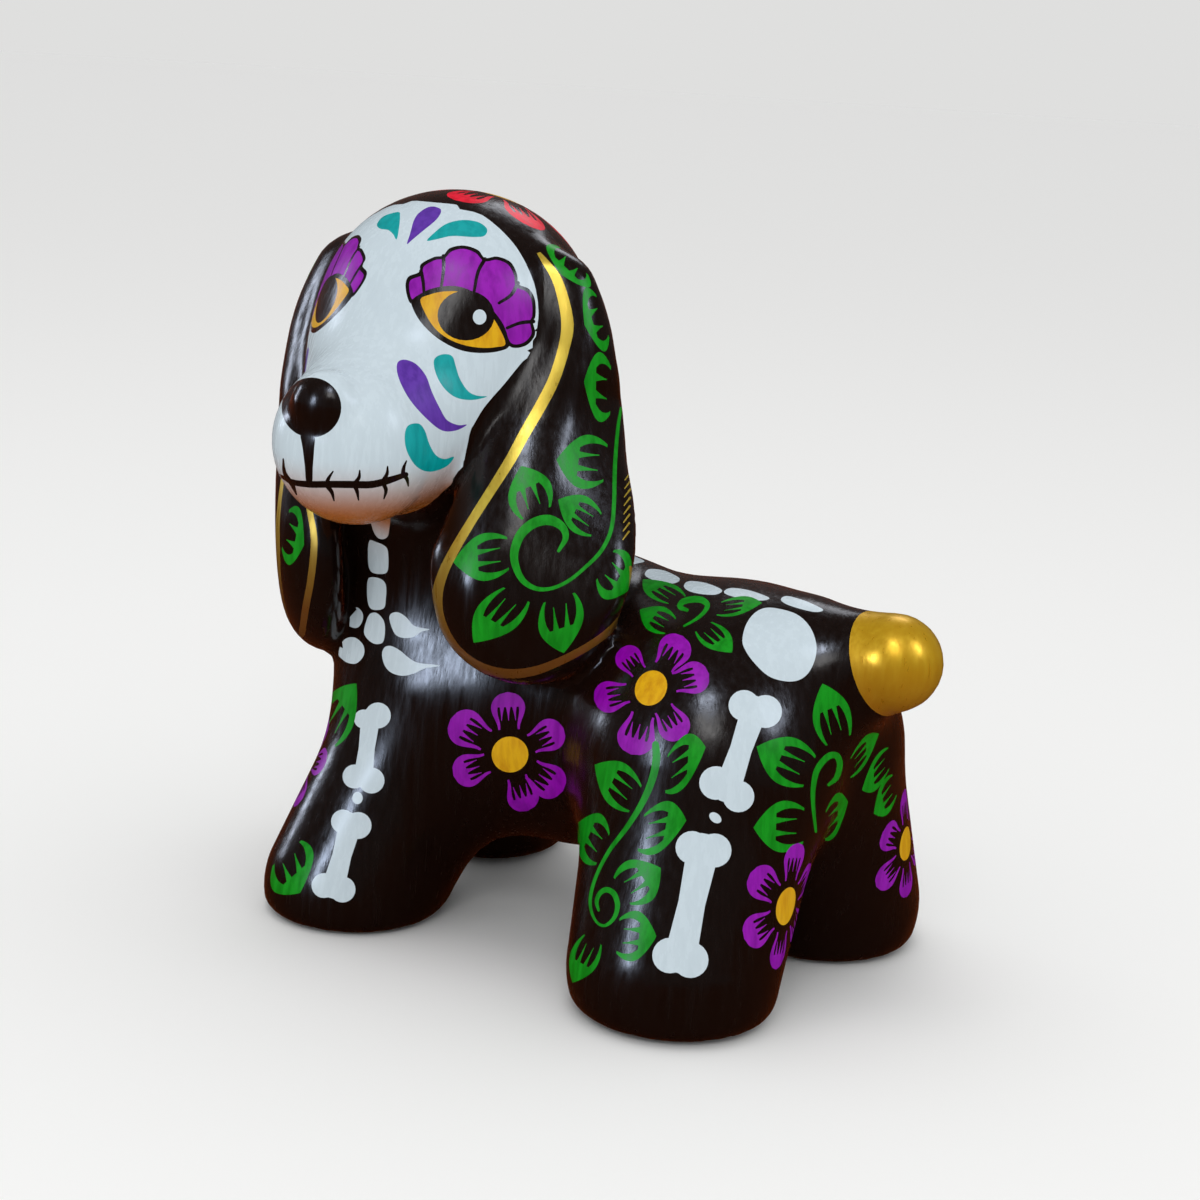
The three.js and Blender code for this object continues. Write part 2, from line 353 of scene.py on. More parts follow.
def frontView(mirror=None):
    # frame coordinates: x to the right and y down from the frame's top left corner
    across, upward, back = viewAxes()
    eye = viewPoint()
    flip = -1 if mirror else 1

    def flat(p):
        rel = (mirror(p) if mirror else p) - eye
        scale = viewpoint["focal"] / -(rel @ back)
        half = viewpoint["frame"] / 2
        return np.stack([flip * (half + scale * (rel @ across)), -half + scale * (rel @ upward)], -1)

    return {
        "flat": flat,
        "eye": mirror(eye[None])[0] if mirror else eye,
        "lay": lambda outline: np.array(outline, float) * (flip, -1),
        "reach": None,
    }


def sideView(at, normal, upward=(0, 0, 1), reach=None, eyeAway=2000):
    # millimetres in a plane that touches the clay: x to the right and y up, seen from outside
    at, normal = np.array(at, float), np.array(normal, float)
    normal = normal / np.linalg.norm(normal)
    right = np.cross(upward, normal)
    right = right / np.linalg.norm(right)
    up = np.cross(normal, right)
    return {
        "flat": lambda p: np.stack([(p - at) @ right, (p - at) @ up], -1),
        "eye": at + eyeAway * normal,
        "lay": lambda outline: np.array(outline, float),
        "reach": (at, reach) if reach else None,
    }


def mirrorHead(shift):
    # the far half of the face was painted a little further out than the near half
    def mirror(p):
        q = toHead(p)
        q[:, 0] = -q[:, 0] - shift
        return fromHead(q)

    return mirror


def onClay(direction, start, mostSteps=200, closeEnough=0.01, caution=0.7):
    # walks from start along direction until it meets the clay
    p, direction = np.array([start], float), np.array(direction, float)
    direction = direction / np.linalg.norm(direction)
    for _ in range(mostSteps):
        step = figureField(p)[0]
        if step < closeEnough:
            break
        p = p + caution * step * direction
    return p[0]


# brush marks are closed outlines in the plane of a view
def smoothLine(points, steps=6, closed=False):
    # a Catmull-Rom curve through the points
    points = np.array(points, float)
    n = len(points)
    if closed:
        padded = np.concatenate([points[-1:], points, points[:2]])
    else:
        padded = np.concatenate([2 * points[:1] - points[1:2], points, 2 * points[-1:] - points[-2:-1]])
        n -= 1
    t = np.arange(steps)[:, None] / steps
    pieces = []
    for i in range(n):
        a, b, c, d = padded[i:i + 4]
        square, cube = 2 * a - 5 * b + 4 * c - d, 3 * b - a - 3 * c + d
        pieces.append(0.5 * (2 * b + (c - a) * t + square * t**2 + cube * t**3))
    if not closed:
        pieces.append(points[-1:])
    return np.concatenate(pieces)


def blob(*points, steps=5):
    return smoothLine(points, steps, closed=True)


def disc(at, across, high=None, turn=0, steps=28):
    a = np.arange(steps) / steps * 2 * math.pi
    x, y = across * np.cos(a), (high or across) * np.sin(a)
    c, s = math.cos(math.radians(turn)), math.sin(math.radians(turn))
    return np.stack([at[0] + c * x - s * y, at[1] + s * x + c * y], -1)


def inset(outline, by):
    # the outline moved inwards
    outline = np.asarray(outline, float)
    along = np.roll(outline, -1, 0) - np.roll(outline, 1, 0)
    x, y = outline.T
    way = np.sign(np.sum(x * np.roll(y, -1) - np.roll(x, -1) * y))
    inward = way * np.column_stack([-along[:, 1], along[:, 0]])
    return outline + by * inward / np.linalg.norm(inward, axis=1)[:, None]


def stroke(points, widths, steps=6):
    # a brush line whose width changes from point to point, with rounded ends
    line = smoothLine(points, steps)
    share = np.linspace(0, 1, len(line))
    wide = np.interp(share, np.linspace(0, 1, len(widths)), widths) / 2
    along = np.gradient(line, axis=0)
    along /= np.linalg.norm(along, axis=1)[:, None] + 1e-9
    side = np.stack([-along[:, 1], along[:, 0]], -1)
    left, right = line + side * wide[:, None], line - side * wide[:, None]
    turn = np.linspace(0, math.pi, 6)[1:-1, None]
    endCap = line[-1] + wide[-1] * (np.cos(turn) * side[-1] + np.sin(turn) * along[-1])
    startCap = line[0] + wide[0] * (-np.cos(turn) * side[0] - np.sin(turn) * along[0])
    return np.concatenate([left, endCap, right[::-1], startCap])


# shares of a leaf's or petal's length, and of its half width, from the tip to the open end
leafShape = {
    "widestAt": 0.6, "width": 1.22, "narrowing": 0.31, "roundness": 0.9,
    "solidTo": 0.45, "rim": (0.42, 0.26, 0.1), "strokes": (-0.26, 0.26), "strokesTo": 0.86,
}
petalShape = {
    "widestAt": 0.42, "width": 1.6, "narrowing": 0.37,
    "solidTo": 0.4, "rim": (0.4, 0.24, 0.12), "strokes": (-0.36, 0, 0.36), "strokesTo": 0.76,
}
combShape = {
    "overlap": 0.04, "rimBendAt": 0.75, "rimWidthAt": 0.55,
    "strokeRoot": 0.13, "strokeTip": 0.02, "strokeTaper": 1.6, "spread": 0.15,
}
flowerShape = {"petalFrom": 0.4, "petalHalf": 0.17, "heart": 0.3}   # shares of a petal's reach


def comb(tip, endA, endB, look, profile):
    # a leaf or a petal: solid from the tip, then a rim and tapering strokes that leave gaps between them
    tip, endA, endB = (np.array(v, float) for v in (tip, endA, endB))
    axis, half = (endA + endB) / 2 - tip, (endA - endB) / 2
    solidTo, strokesFrom = look["solidTo"], look["solidTo"] - combShape["overlap"]

    def place(s, u):
        return tip + np.multiply.outer(s, axis) + np.multiply.outer(u, half)

    s = np.linspace(0, solidTo, 9)
    h = profile(s)
    shapes = [np.concatenate([place(s, h), place(s[::-1], -h[::-1])[:-1]])]
    s = np.linspace(strokesFrom, 1, 10)
    h = profile(s)
    rimWidth = profile(np.array([combShape["rimWidthAt"]]))[0]
    thick = np.interp(s, (solidTo, combShape["rimBendAt"], 1), look["rim"]) * rimWidth
    for side in (1, -1):
        shapes.append(np.concatenate([place(s, side * h), place(s[::-1], side * (h - thick)[::-1])]))
    top = profile(np.array([solidTo]))[0]
    for at in look["strokes"]:
        s = np.linspace(strokesFrom, look["strokesTo"], 6)
        t = np.linspace(0, 1, 6)
        taper = combShape["strokeRoot"] * (1 - t) ** combShape["strokeTaper"]
        wide = top * (taper + combShape["strokeTip"])
        mid = top * at * (1 + combShape["spread"] * t)
        shapes.append(np.concatenate([place(s, mid + wide), place(s[::-1], (mid - wide)[::-1])]))
    return shapes


def leafProfile(s):
    widestAt = leafShape["widestAt"]
    rise = np.sin(math.pi / 2 * np.minimum(s / widestAt, 1)) ** leafShape["roundness"]
    fall = np.clip((s - widestAt) / (1 - widestAt), 0, 1)
    return leafShape["width"] * rise * (1 - leafShape["narrowing"] * fall * fall)


def petalProfile(s):
    widestAt = petalShape["widestAt"]
    rise = np.sqrt(np.clip(1 - (1 - np.minimum(s / widestAt, 1)) ** 2, 0, 1))
    fall = np.clip((s - widestAt) / (1 - widestAt), 0, 1)
    return petalShape["width"] * rise * (1 - petalShape["narrowing"] * fall * fall * (3 - 2 * fall))


def leaf(tip, endA, endB):
    return comb(tip, endA, endB, leafShape, leafProfile)


def petal(tip, endA, endB):
    return comb(tip, endA, endB, petalShape, petalProfile)


def flower(centre, tips, heart):
    # petals round a heart, each open on the side of the heart
    centre = np.array(centre, float)
    petals = []
    for tip in tips:
        out = np.array(tip, float) - centre
        side = np.array([-out[1], out[0]]) * flowerShape["petalHalf"]
        foot = centre + flowerShape["petalFrom"] * out
        petals += petal(tip, foot + side, foot - side)
    return [("purple", petals), ("yellow", [heart])]


def bone(knobs, radii, shaft, flare=1.2):
    # two knobs at each end and a waisted shaft between them
    knobs = [np.array(k, float) for k in knobs]
    top, bottom = (knobs[0] + knobs[1]) / 2, (knobs[2] + knobs[3]) / 2
    shapes = [disc(k, r, steps=24) for k, r in zip(knobs, radii)]
    shapes.append(stroke([top, (top + bottom) / 2, bottom], [shaft * flare, shaft, shaft * flare], 8))
    return shapes


printing = {
    "leastFacing": 0.06,       # clay that faces the eye less than this, as a cosine, takes no mark
    "lift": 0.35,              # millimetres off the clay at which a sight line starts
    "oldCorner": 2e-3,         # millimetres within which a new corner is the old one
    "sameCorner": 5e-3,        # and within which two new corners are one
    "mostCuts": 60,            # cuts followed along one old edge
    "weld": 1e-4,              # in the view's plane, corners nearer than this are one
}


def takesMarks(figure, view, outlines, where, halfHidden):
    # the numbers of the triangles that the outlines may touch and that the view's eye can see
    points, faces = figure["points"], figure["faces"]
    flat = view["flat"](points)
    low, high = flat[faces].min(1), flat[faces].max(1)
    near = np.zeros(len(faces), bool)
    for outline in outlines:
        near |= (low <= outline.max(0)).all(1) & (high >= outline.min(0)).all(1)
    a, b, c = (points[faces[:, i]] for i in range(3))
    middle = (a + b + c) / 3
    normal = np.cross(b - a, c - a)
    away = view["eye"] - middle
    away /= np.linalg.norm(away, axis=1)[:, None]
    size = np.linalg.norm(normal, axis=1) + 1e-12
    near &= (normal * away).sum(1) / size > printing["leastFacing"]
    if view["reach"]:
        near &= np.linalg.norm(middle - view["reach"][0], axis=1) < view["reach"][1]
    if where is not None:
        near &= where(middle)
    tree = BVHTree.FromPolygons(points.tolist(), faces.tolist())
    covered = np.zeros(len(points), bool)
    for v in np.unique(faces[near]):
        toEye = view["eye"] - points[v]
        toEye /= np.linalg.norm(toEye)
        start = Vector(points[v] + printing["lift"] * toEye)
        covered[v] = tree.ray_cast(start, Vector(toEye))[0] is not None
    blocked = covered[faces].all(1) if halfHidden else covered[faces].any(1)
    return np.nonzero(near & ~blocked)[0]


def backOnClay(flat, points, faces, made, rows, source):
    # corner numbers of the cut triangles, and the corners that are new
    base = flat[faces[source]]
    e1, e2 = base[:, 1] - base[:, 0], base[:, 2] - base[:, 0]
    area = e1[:, 0] * e2[:, 1] - e1[:, 1] * e2[:, 0]
    rel = made[rows] - base[:, :1]
    w1 = (rel[..., 0] * e2[:, None, 1] - rel[..., 1] * e2[:, None, 0]) / area[:, None]
    w2 = (e1[:, None, 0] * rel[..., 1] - e1[:, None, 1] * rel[..., 0]) / area[:, None]
    weights = np.stack([1 - w1 - w2, w1, w2], -1)
    placed = np.einsum("tkw,twc->tkc", weights, points[faces[source]])
    gap = np.linalg.norm(placed[:, :, None] - points[faces[source]][:, None], axis=-1)
    nearest, closest = gap.argmin(-1), gap.min(-1)
    newFaces = np.zeros_like(rows)
    added, known = [], {}
    for t in range(len(rows)):
        for k in range(3):
            if closest[t, k] < printing["oldCorner"]:
                newFaces[t, k] = faces[source[t], nearest[t, k]]
                continue
            seen = known.setdefault(int(rows[t, k]), [])
            at = placed[t, k]
            for number in seen:
                if np.abs(added[number - len(points)] - at).max() < printing["sameCorner"]:
                    newFaces[t, k] = number
                    break
            else:
                newFaces[t, k] = len(points) + len(added)
                seen.append(newFaces[t, k])
                added.append(at)
    return newFaces, np.array(added).reshape(-1, 3)


def edgesOf(faces):
    return {(f[i], f[(i + 1) % 3]) for f in faces.tolist() for i in range(3)}


def cutEdges(points, oldFaces, newFaces):
    # the corners that the marks have put on old edges round the patch
    used, whole = edgesOf(newFaces), edgesOf(oldFaces)
    loose, cuts = {}, {}
    for u, v in used:
        if (v, u) not in used:
            loose.setdefault(u, []).append(v)
    for u, v in whole:
        if (v, u) in whole or (u, v) in used:
            continue
        chain, at = [], u
        while at != v and len(chain) < printing["mostCuts"]:
            options = loose.get(at, [])
            if not options:
                break
            way = points[v] - points[at]
            way /= np.linalg.norm(way) + 1e-12
            steps = [points[o] - points[at] for o in options]
            scores = [(d @ way) / (np.linalg.norm(d) + 1e-12) for d in steps]
            at = options[int(np.argmax(scores))]
            chain.append(at)
        cuts[(v, u)] = chain[:-1][::-1]
    return cuts


def splitAlong(face, lists):
    # the triangle cut up so that it has the corners that its neighbours have
    done, todo = [], [(face, lists)]
    while todo:
        (p, q, r), (pq, qr, rp) = todo.pop()
        if pq:
            m = len(pq) // 2
            todo.append(((p, pq[m], r), (pq[:m], [], rp)))
            todo.append(((pq[m], q, r), (pq[m + 1:], qr, [])))
        elif qr:
            todo.append(((q, r, p), (qr, rp, pq)))
        elif rp:
            todo.append(((r, p, q), (rp, pq, qr)))
        else:
            done.append((p, q, r))
    return done


def imprint(figure, view, marks, where=None, halfHidden=False):
    # cuts the marks' outlines into the triangles and coats what they enclose;
    # marks: (paint, outlines, names of the parts that take it), the last one on top;
    # halfHidden: the triangles that stand half behind another part take them too
    points, faces = figure["points"], figure["faces"]
    flat = view["flat"](points)
    outlines, owner = [], []
    for i, mark in enumerate(marks):
        for shape in mark[1]:
            outline = view["lay"](shape)
            x, y = outline.T
            if (x * np.roll(y, -1) - y * np.roll(x, -1)).sum() < 0:
                outline = outline[::-1]
            outlines.append(outline)
            owner.append(i)
    patch = takesMarks(figure, view, outlines, where, halfHidden)
    ids = np.unique(faces[patch])
    local = np.zeros(len(points), int)
    local[ids] = np.arange(len(ids))
    corners = [Vector(v) for v in flat[ids]]
    polygons = [tuple(f) for f in local[faces[patch]].tolist()]
    for outline in outlines:
        polygons.append(tuple(range(len(corners), len(corners) + len(outline))))
        corners += [Vector(v) for v in outline]
    cut = delaunay_2d_cdt(corners, [], polygons, 1, printing["weld"], True)
    rows, source, coats = [], [], []
    for face, origin in zip(cut[2], cut[5]):
        over = sorted(owner[i - len(patch)] for i in origin if i >= len(patch))
        for f in (patch[i] for i in origin if i < len(patch)):
            paint = figure["paint"][f]
            for j in over:
                if partNames[figure["part"][f]] in marks[j][2]:
                    paint = paintNames.index(marks[j][0])
            rows.append(face)
            source.append(f)
            coats.append(paint)
    rows, source, coats = np.array(rows), np.array(source), np.array(coats)
    made = np.array([tuple(v) for v in cut[0]])
    newFaces, added = backOnClay(flat, points, faces, made, rows, source)
    good = (newFaces != np.roll(newFaces, -1, 1)).all(1)
    newFaces, source, coats = newFaces[good], source[good], coats[good]
    allPoints = np.concatenate([points, added])
    cuts = cutEdges(allPoints, faces[patch], newFaces)
    keep = np.ones(len(faces), bool)
    keep[patch] = False
    splitFaces, splitFrom = [], []
    for f in np.nonzero(keep)[0]:
        face = faces[f].tolist()
        lists = [cuts.get((face[i], face[(i + 1) % 3]), []) for i in range(3)]
        if any(lists):
            keep[f] = False
            pieces = splitAlong(face, lists)
            splitFaces += pieces
            splitFrom += [f] * len(pieces)
    splitFrom = np.array(splitFrom, int)
    figure["points"] = allPoints
    figure["faces"] = np.concatenate([faces[keep], newFaces, np.array(splitFaces, int).reshape(-1, 3)])
    for name, new in (("paint", coats), ("part", figure["part"][source])):
        figure[name] = np.concatenate([figure[name][keep], new, figure[name][splitFrom]])
    print("marks:", len(outlines), "outlines,", len(figure["faces"]), "triangles,",
          "open edges", openEdges(figure["faces"]))


def paintBeyond(figure, paint, borderOf, parts, halvings=14, margin=0.02):
    # cuts the triangles along the line where borderOf is zero and paints the side below zero;
    # a cut keeps the margin, a share of the edge, from the edge's ends
    points, faces = figure["points"], figure["faces"]
    value = borderOf(points)
    touched = np.isin(figure["part"], [partNames.index(name) for name in parts])
    edges = np.sort(faces[:, [0, 1, 1, 2, 2, 0]].reshape(-1, 2), axis=1)
    crossed = np.unique(edges[(value[edges[:, 0]] < 0) != (value[edges[:, 1]] < 0)], axis=0)
    low, high = np.zeros(len(crossed)), np.ones(len(crossed))
    start, way = points[crossed[:, 0]], points[crossed[:, 1]] - points[crossed[:, 0]]
    startInside = value[crossed[:, 0]] < 0
    for _ in range(halvings):
        middle = (low + high) / 2
        same = (borderOf(start + middle[:, None] * way) < 0) == startInside
        low, high = np.where(same, middle, low), np.where(same, high, middle)
    cutAt = {tuple(e): len(points) + i for i, e in enumerate(crossed.tolist())}
    share = np.clip((low + high) / 2, margin, 1 - margin)
    allPoints = np.concatenate([points, start + share[:, None] * way])
    inside = value < 0
    rows, source, sides = [], [], []
    for f, face in enumerate(faces.tolist()):
        state = [inside[v] for v in face]
        if state[0] == state[1] == state[2]:
            rows.append(face)
            source.append(f)
            sides.append(state[0])
            continue
        while not (state[0] != state[1] and state[0] != state[2]):
            face, state = face[1:] + face[:1], state[1:] + state[:1]
        p, q, r = face
        m, n = cutAt[tuple(sorted((p, q)))], cutAt[tuple(sorted((p, r)))]
        rows += [(p, m, n), (m, q, r), (m, r, n)]
        source += [f] * 3
        sides += [state[0], not state[0], not state[0]]
    source, sides = np.array(source), np.array(sides)
    figure["points"], figure["faces"] = allPoints, np.array(rows)
    figure["part"] = figure["part"][source]
    painted = sides & touched[source]
    figure["paint"] = np.where(painted, paintNames.index(paint), figure["paint"][source])


paintNames = ["black", "white", "teal", "violet", "purple", "green", "yellow", "gold", "red", "tailGold"]
partNames = ["body", "tail", "head", "leftEar", "rightEar"]
bodyAndTail = ["body", "tail"]


def nameParts(figure):
    # each triangle belongs to the part whose field is the lowest at its middle, in partNames' order
    middle = figure["points"][figure["faces"]].mean(1)
    trunk, neckPart, stub, skull, web, leftEar, rightEar = partFields(middle)
    fields = np.stack([np.minimum(np.minimum(trunk, neckPart), web), stub, skull, leftEar, rightEar])
    figure["part"] = fields.argmin(0)


# the painting, laid out in the photographer's frame
mask = {
    "farEyeShift": 2.4, "farCheekShift": 22.0,   # millimetres
    "lidInset": 0.6, "eyeInset": 0.5,   # the black left round these two, in the frame's pixels
    "foldWidths": [3.9, 3.5, 3],
    "stitchWidths": [1.5, 3.6, 4.8, 4, 1.5],
    "mouthWidths": [2.5, 5.6, 6.8, 7, 7.4, 7.4, 7, 5],
    # the edge of the white mask in the head's own frame is found from these places
    "maskEdge": [
        (404, 204), (430, 202), (457, 204.5), (479, 213), (499, 228), (517, 248), (528, 268), (535, 286),
        (538.5, 315), (535, 344), (526, 360), (506, 382), (483, 409), (470, 431), (464.5, 458),
        (455.5, 476), (445, 490), (432, 502),
    ],
    "drops": [
        (
            "teal",
            [
                (377, 224), (384, 216), (398, 212), (400, 216), (399, 228), (396.6, 239.4), (393, 234),
                (388, 230), (380, 228.6),
            ],
        ),
        (
            "violet",
            [
                (407, 244), (410, 234), (414, 220), (420, 212), (430, 206.6), (439, 208), (441, 212),
                (436, 220), (424, 230), (412, 240),
            ],
        ),
        (
            "teal",
            [
                (427, 240.6), (434, 233), (446, 224), (462, 220), (478, 222), (487, 229), (484, 236),
                (472, 237), (452, 236), (436, 239.4),
            ],
        ),
    ],
    "cheekDrops": [
        (
            "violet",
            [
                (397, 364), (404, 359.6), (416, 364), (426, 376), (432, 392), (440, 408.5), (447, 420),
                (458, 425), (467, 424.7), (456, 430.5), (442, 430.5), (427.2, 419.3), (410, 400),
                (399, 379),
            ],
        ),
        (
            "teal",
            [
                (434, 360), (442, 354.4), (452, 356), (456, 367), (460, 379), (468, 391), (477, 395.6),
                (487, 396.6), (472, 400), (456, 397.5), (444, 388), (436, 374),
            ],
        ),
        (
            "teal",
            [
                (408, 425.7), (418.7, 423.6), (425, 431), (429.4, 444), (435.8, 455), (444.4, 459),
                (454, 456.8), (446.5, 466.5), (430, 471.8), (416.5, 466.5), (407, 451.5), (404.7, 436.5),
            ],
        ),
    ],
    "lidOutline": [
        (405.6, 288), (408, 277), (419, 272), (421, 264), (434, 257), (443, 255.5), (450, 248),
        (464, 245.5), (478, 250), (485, 258), (497, 256.5), (510.5, 262), (517, 274), (518.5, 284),
        (529, 289), (535, 300), (535.5, 316), (533, 322), (535, 335), (525, 346), (509, 346), (500, 325),
        (488, 310), (476, 298), (460, 290.4), (444, 289.6), (430, 293), (418, 300), (410, 303),
    ],
    "lid": [
        (408.5, 288), (410.5, 279.5), (421, 274.8), (423.5, 266), (435, 259.5), (444, 258),
        (451.5, 250.8), (464, 248.3), (476, 252.5), (484.5, 260.7), (497, 259.3), (508.5, 264.3),
        (514.6, 275), (516.3, 286), (527, 291.5), (532.2, 301), (532.8, 315.5), (530.5, 322), (532, 334),
        (523.5, 343.3), (510.5, 343.3), (503, 325), (490.5, 308), (478, 295.5), (461, 287.6),
        (444, 286.8), (428.5, 290.3), (417, 296.5), (411.5, 299.5),
    ],
    "lidFolds": [
        [(421, 271), (423, 281), (424, 292)], [(443.5, 256), (443.5, 270), (441, 289)],
        [(485, 259), (478, 272), (474, 292)], [(518, 283), (511, 295), (499, 303)],
        [(533.5, 321.5), (520, 323), (507, 328)],
    ],
    "eyeOutline": [
        (411, 300), (418, 297), (430, 291), (444, 287.6), (460, 288.4), (478, 296.5), (490, 309),
        (500, 322), (509.5, 344), (500, 351), (480, 353), (460, 350), (440, 340), (424, 326),
        (414.5, 312),
    ],
    "eye": [
        (420, 299.4), (430, 294), (444, 291), (460, 291.5), (475, 299), (487, 311), (497, 323),
        (506, 343.5), (496, 347.6), (480, 348.2), (462, 345), (446, 338), (434, 328), (425, 314),
    ],
    "pupil": ((466, 315.5), 28.5, 25), "glint": ((479.6, 317), 6.8, 7.6),
    "underNearEar": [
        (530, 356), (506, 382), (484, 409), (472.6, 431), (468, 458), (459, 478), (447, 492), (432, 502),
        (440, 515), (462, 503), (480, 482), (490, 455), (496, 432), (508, 410), (528, 392), (545, 372),
    ],
    "nose": ((311.5, 407.5), 29.8, 30),
    "philtrum": [
        (301, 433), (314, 436), (314.2, 448), (312.8, 468), (312, 483), (306.4, 483), (304.8, 466),
        (302.6, 448),
    ],
    "mouth": [
        (279.3, 475), (292.2, 482), (309.3, 484.3), (328.6, 484.3), (350, 484.5), (371.5, 484.5),
        (388.6, 480.4), (406, 474.5),
    ],
    "stitches": [
        [(283.2, 459), (284.7, 473), (292.2, 484.7), (296.4, 494.3)],
        [(333, 471.5), (328.5, 478.5), (327, 485), (331.8, 492.2), (334, 500.5)],
        [(359.7, 470.5), (359, 477.5), (354.8, 484.5), (357, 491), (358.6, 500)],
        [(387.6, 466.5), (387, 474), (383.2, 482), (386, 490), (384, 498.6)],
        [(406.4, 461), (403.7, 468), (403.4, 474), (406.9, 479), (408.3, 486)],
    ],
}
# outlines, or the four knobs of a leg's bone with their radii and the width of its shaft
bones = {
    "neckBones": [
        [(371, 512), (389, 512), (389, 531), (386, 538), (379, 538.5), (373, 530)],
        [
            (369, 541.5), (376, 542), (386, 547), (388.3, 556), (387.5, 571), (381, 574), (371, 571.5),
            (368, 560),
        ],
        [
            (369, 578), (380, 578.6), (385.8, 585), (385.8, 599), (383.5, 608.5), (372.5, 609.5),
            (368, 603), (367, 589),
        ],
        [
            (370, 614), (377, 613.2), (384, 621.5), (384.8, 634), (382, 643), (372.5, 643), (364.3, 634),
            (366, 622),
        ],
    ],
    "ribs": [
        [
            (341, 618.5), (347, 616.5), (352, 609), (358, 607.8), (362.8, 614), (362, 622), (357, 627.8),
            (349, 626),
        ],
        [
            (338.5, 654), (341, 644), (347, 638), (356, 638), (363.6, 646), (363.4, 656), (356, 663.5),
            (347, 662.5), (341, 658),
        ],
        [
            (389.5, 620), (391, 613.8), (398, 612.3), (406, 617), (413, 625), (421, 627.8),
            (429.5, 629.3), (421, 632), (414, 636.7), (404, 638), (395, 634),
        ],
        [
            (382, 655), (384.5, 647.5), (391, 646), (400, 650.5), (409, 658), (419, 663), (440, 665.5),
            (425, 668.3), (415, 673), (403, 675.8), (392, 673), (385, 666),
        ],
    ],
    "legBones": [
        {
            "knobs": [(363.5, 719), (377.8, 715.5), (354.5, 776.5), (371.5, 780.5)],
            "radii": [9.5, 13, 12, 13],
            "shaft": 16,
        },
        {
            "knobs": [(343, 821.5), (358, 825.5), (324, 885.5), (342.5, 889.5)],
            "radii": [12, 13.5, 12.5, 13],
            "shaft": 19,
        },
        {
            "knobs": [(744, 705.5), (765.5, 711.5), (716, 783), (738.5, 796.5)],
            "radii": [15.5, 16.5, 16.8, 15.8],
            "shaft": 22,
        },
        {
            "knobs": [(692, 847.5), (714.5, 850.5), (670, 955.5), (690.5, 960)],
            "radii": [16.5, 17, 17.8, 18],
            "shaft": 27,
        },
    ],
    "dots": [((357.5, 798), 5.2, 6.2, 0), ((715.3, 817.8), 6.8, 4.6, 38)],
    "spine": [
        [
            (645, 573), (650, 569), (664, 570.5), (678, 577), (679, 581), (672, 583.5), (658, 581.5),
            (647, 577),
        ],
        [
            (684, 585), (690, 581), (706, 583), (720, 588.5), (721.5, 592), (714, 594.8), (698, 593.6),
            (687, 590),
        ],
        [
            (724, 591.5), (731, 588), (748, 590), (766, 596), (769, 599), (760, 600.5), (742, 598.5),
            (728, 595),
        ],
        [
            (781, 599), (787, 596), (803, 600), (819, 607), (823, 610.5), (815, 612), (799, 608.5),
            (785, 603.5),
        ],
    ],
    "hip": [
        (742.4, 640.6), (745.8, 625.2), (754.4, 613.2), (766.4, 607.7), (783.5, 609.7), (799, 615.7),
        (811, 628.6), (816.5, 645.8), (814.4, 661.2), (807.5, 674), (797.3, 680.6), (783.5, 681),
        (768.1, 675.8), (754.4, 663), (745.8, 651),
    ],
}
# tips: the petals' tips; heart: half sizes and turn in degrees
flowers = [
    {
        "centre": (510, 754.5), "heart": (18.4, 18, 0),
        "tips": [(507.5, 692), (563.5, 728), (563, 791), (527.5, 811), (453.5, 776), (450.5, 719)],
    },
    {
        "centre": (651, 688), "heart": (15.5, 18.3, 30),
        "tips": [(621, 648), (683, 636), (709, 674), (682, 739), (631, 754.5), (594, 700)],
    },
]
# each leaf has its tip and the two ends of its open side
earLeaves = [
    [(561, 274.5), (555.7, 243.4), (591, 277.5)], [(584.5, 325), (594.5, 290), (610.5, 342)],
    [(584, 381.6), (611, 362), (610, 419)], [(556.4, 459.7), (608, 441), (602.8, 485.4)],
    [(521, 466), (553.6, 505.3), (519, 521)], [(558.2, 499.7), (602.8, 510.8), (589.8, 538.7)],
    [(453.2, 562), (507, 534), (509, 573)], [(473.7, 642.7), (501, 586), (532.2, 603.7)],
    [(563.8, 653), (540.6, 603.7), (577.7, 591.6)], [(629.5, 590), (615.8, 547), (594.4, 583.3)],
]
bodyLeaves = [
    [(594.7, 764.7), (642.9, 783), (627.5, 814.9)], [(578.3, 822.6), (611, 830.3), (594.7, 867.9)],
    [(705.6, 747.4), (668, 751.2), (665, 796.5)], [(686.3, 820.6), (644.9, 811), (637, 854.4)],
    [(660.7, 867.9), (612, 874.6), (632.3, 907.4)], [(656.4, 936.4), (619.8, 915), (616, 956.6)],
    [(572.5, 982.7), (582.2, 933.5), (603.4, 946)], [(643, 579), (687.5, 595.2), (666, 604.6)],
    [(639.8, 609.7), (677.2, 616.6), (663.5, 635.5)], [(762, 602.9), (722, 600.3), (716, 616.6)],
    [(732, 652.6), (693.5, 632.9), (713.2, 620.9)], [(822.3, 683.6), (823.6, 746.7), (853.2, 733.8)],
    [(756.7, 746.7), (817.2, 753), (801.8, 789.9)], [(753.4, 827.7), (804.3, 804.6), (803, 847)],
    [(879, 733.8), (850.6, 756), (850.6, 780)], [(862, 790), (888, 745), (889, 772)],
    [(873.8, 813.6), (891.8, 772.4), (897, 798)], [(848, 802), (826, 808), (825, 843)],
    [(356.5, 683.5), (318, 723), (337, 749)], [(300, 893), (304, 838), (270, 868)],
]
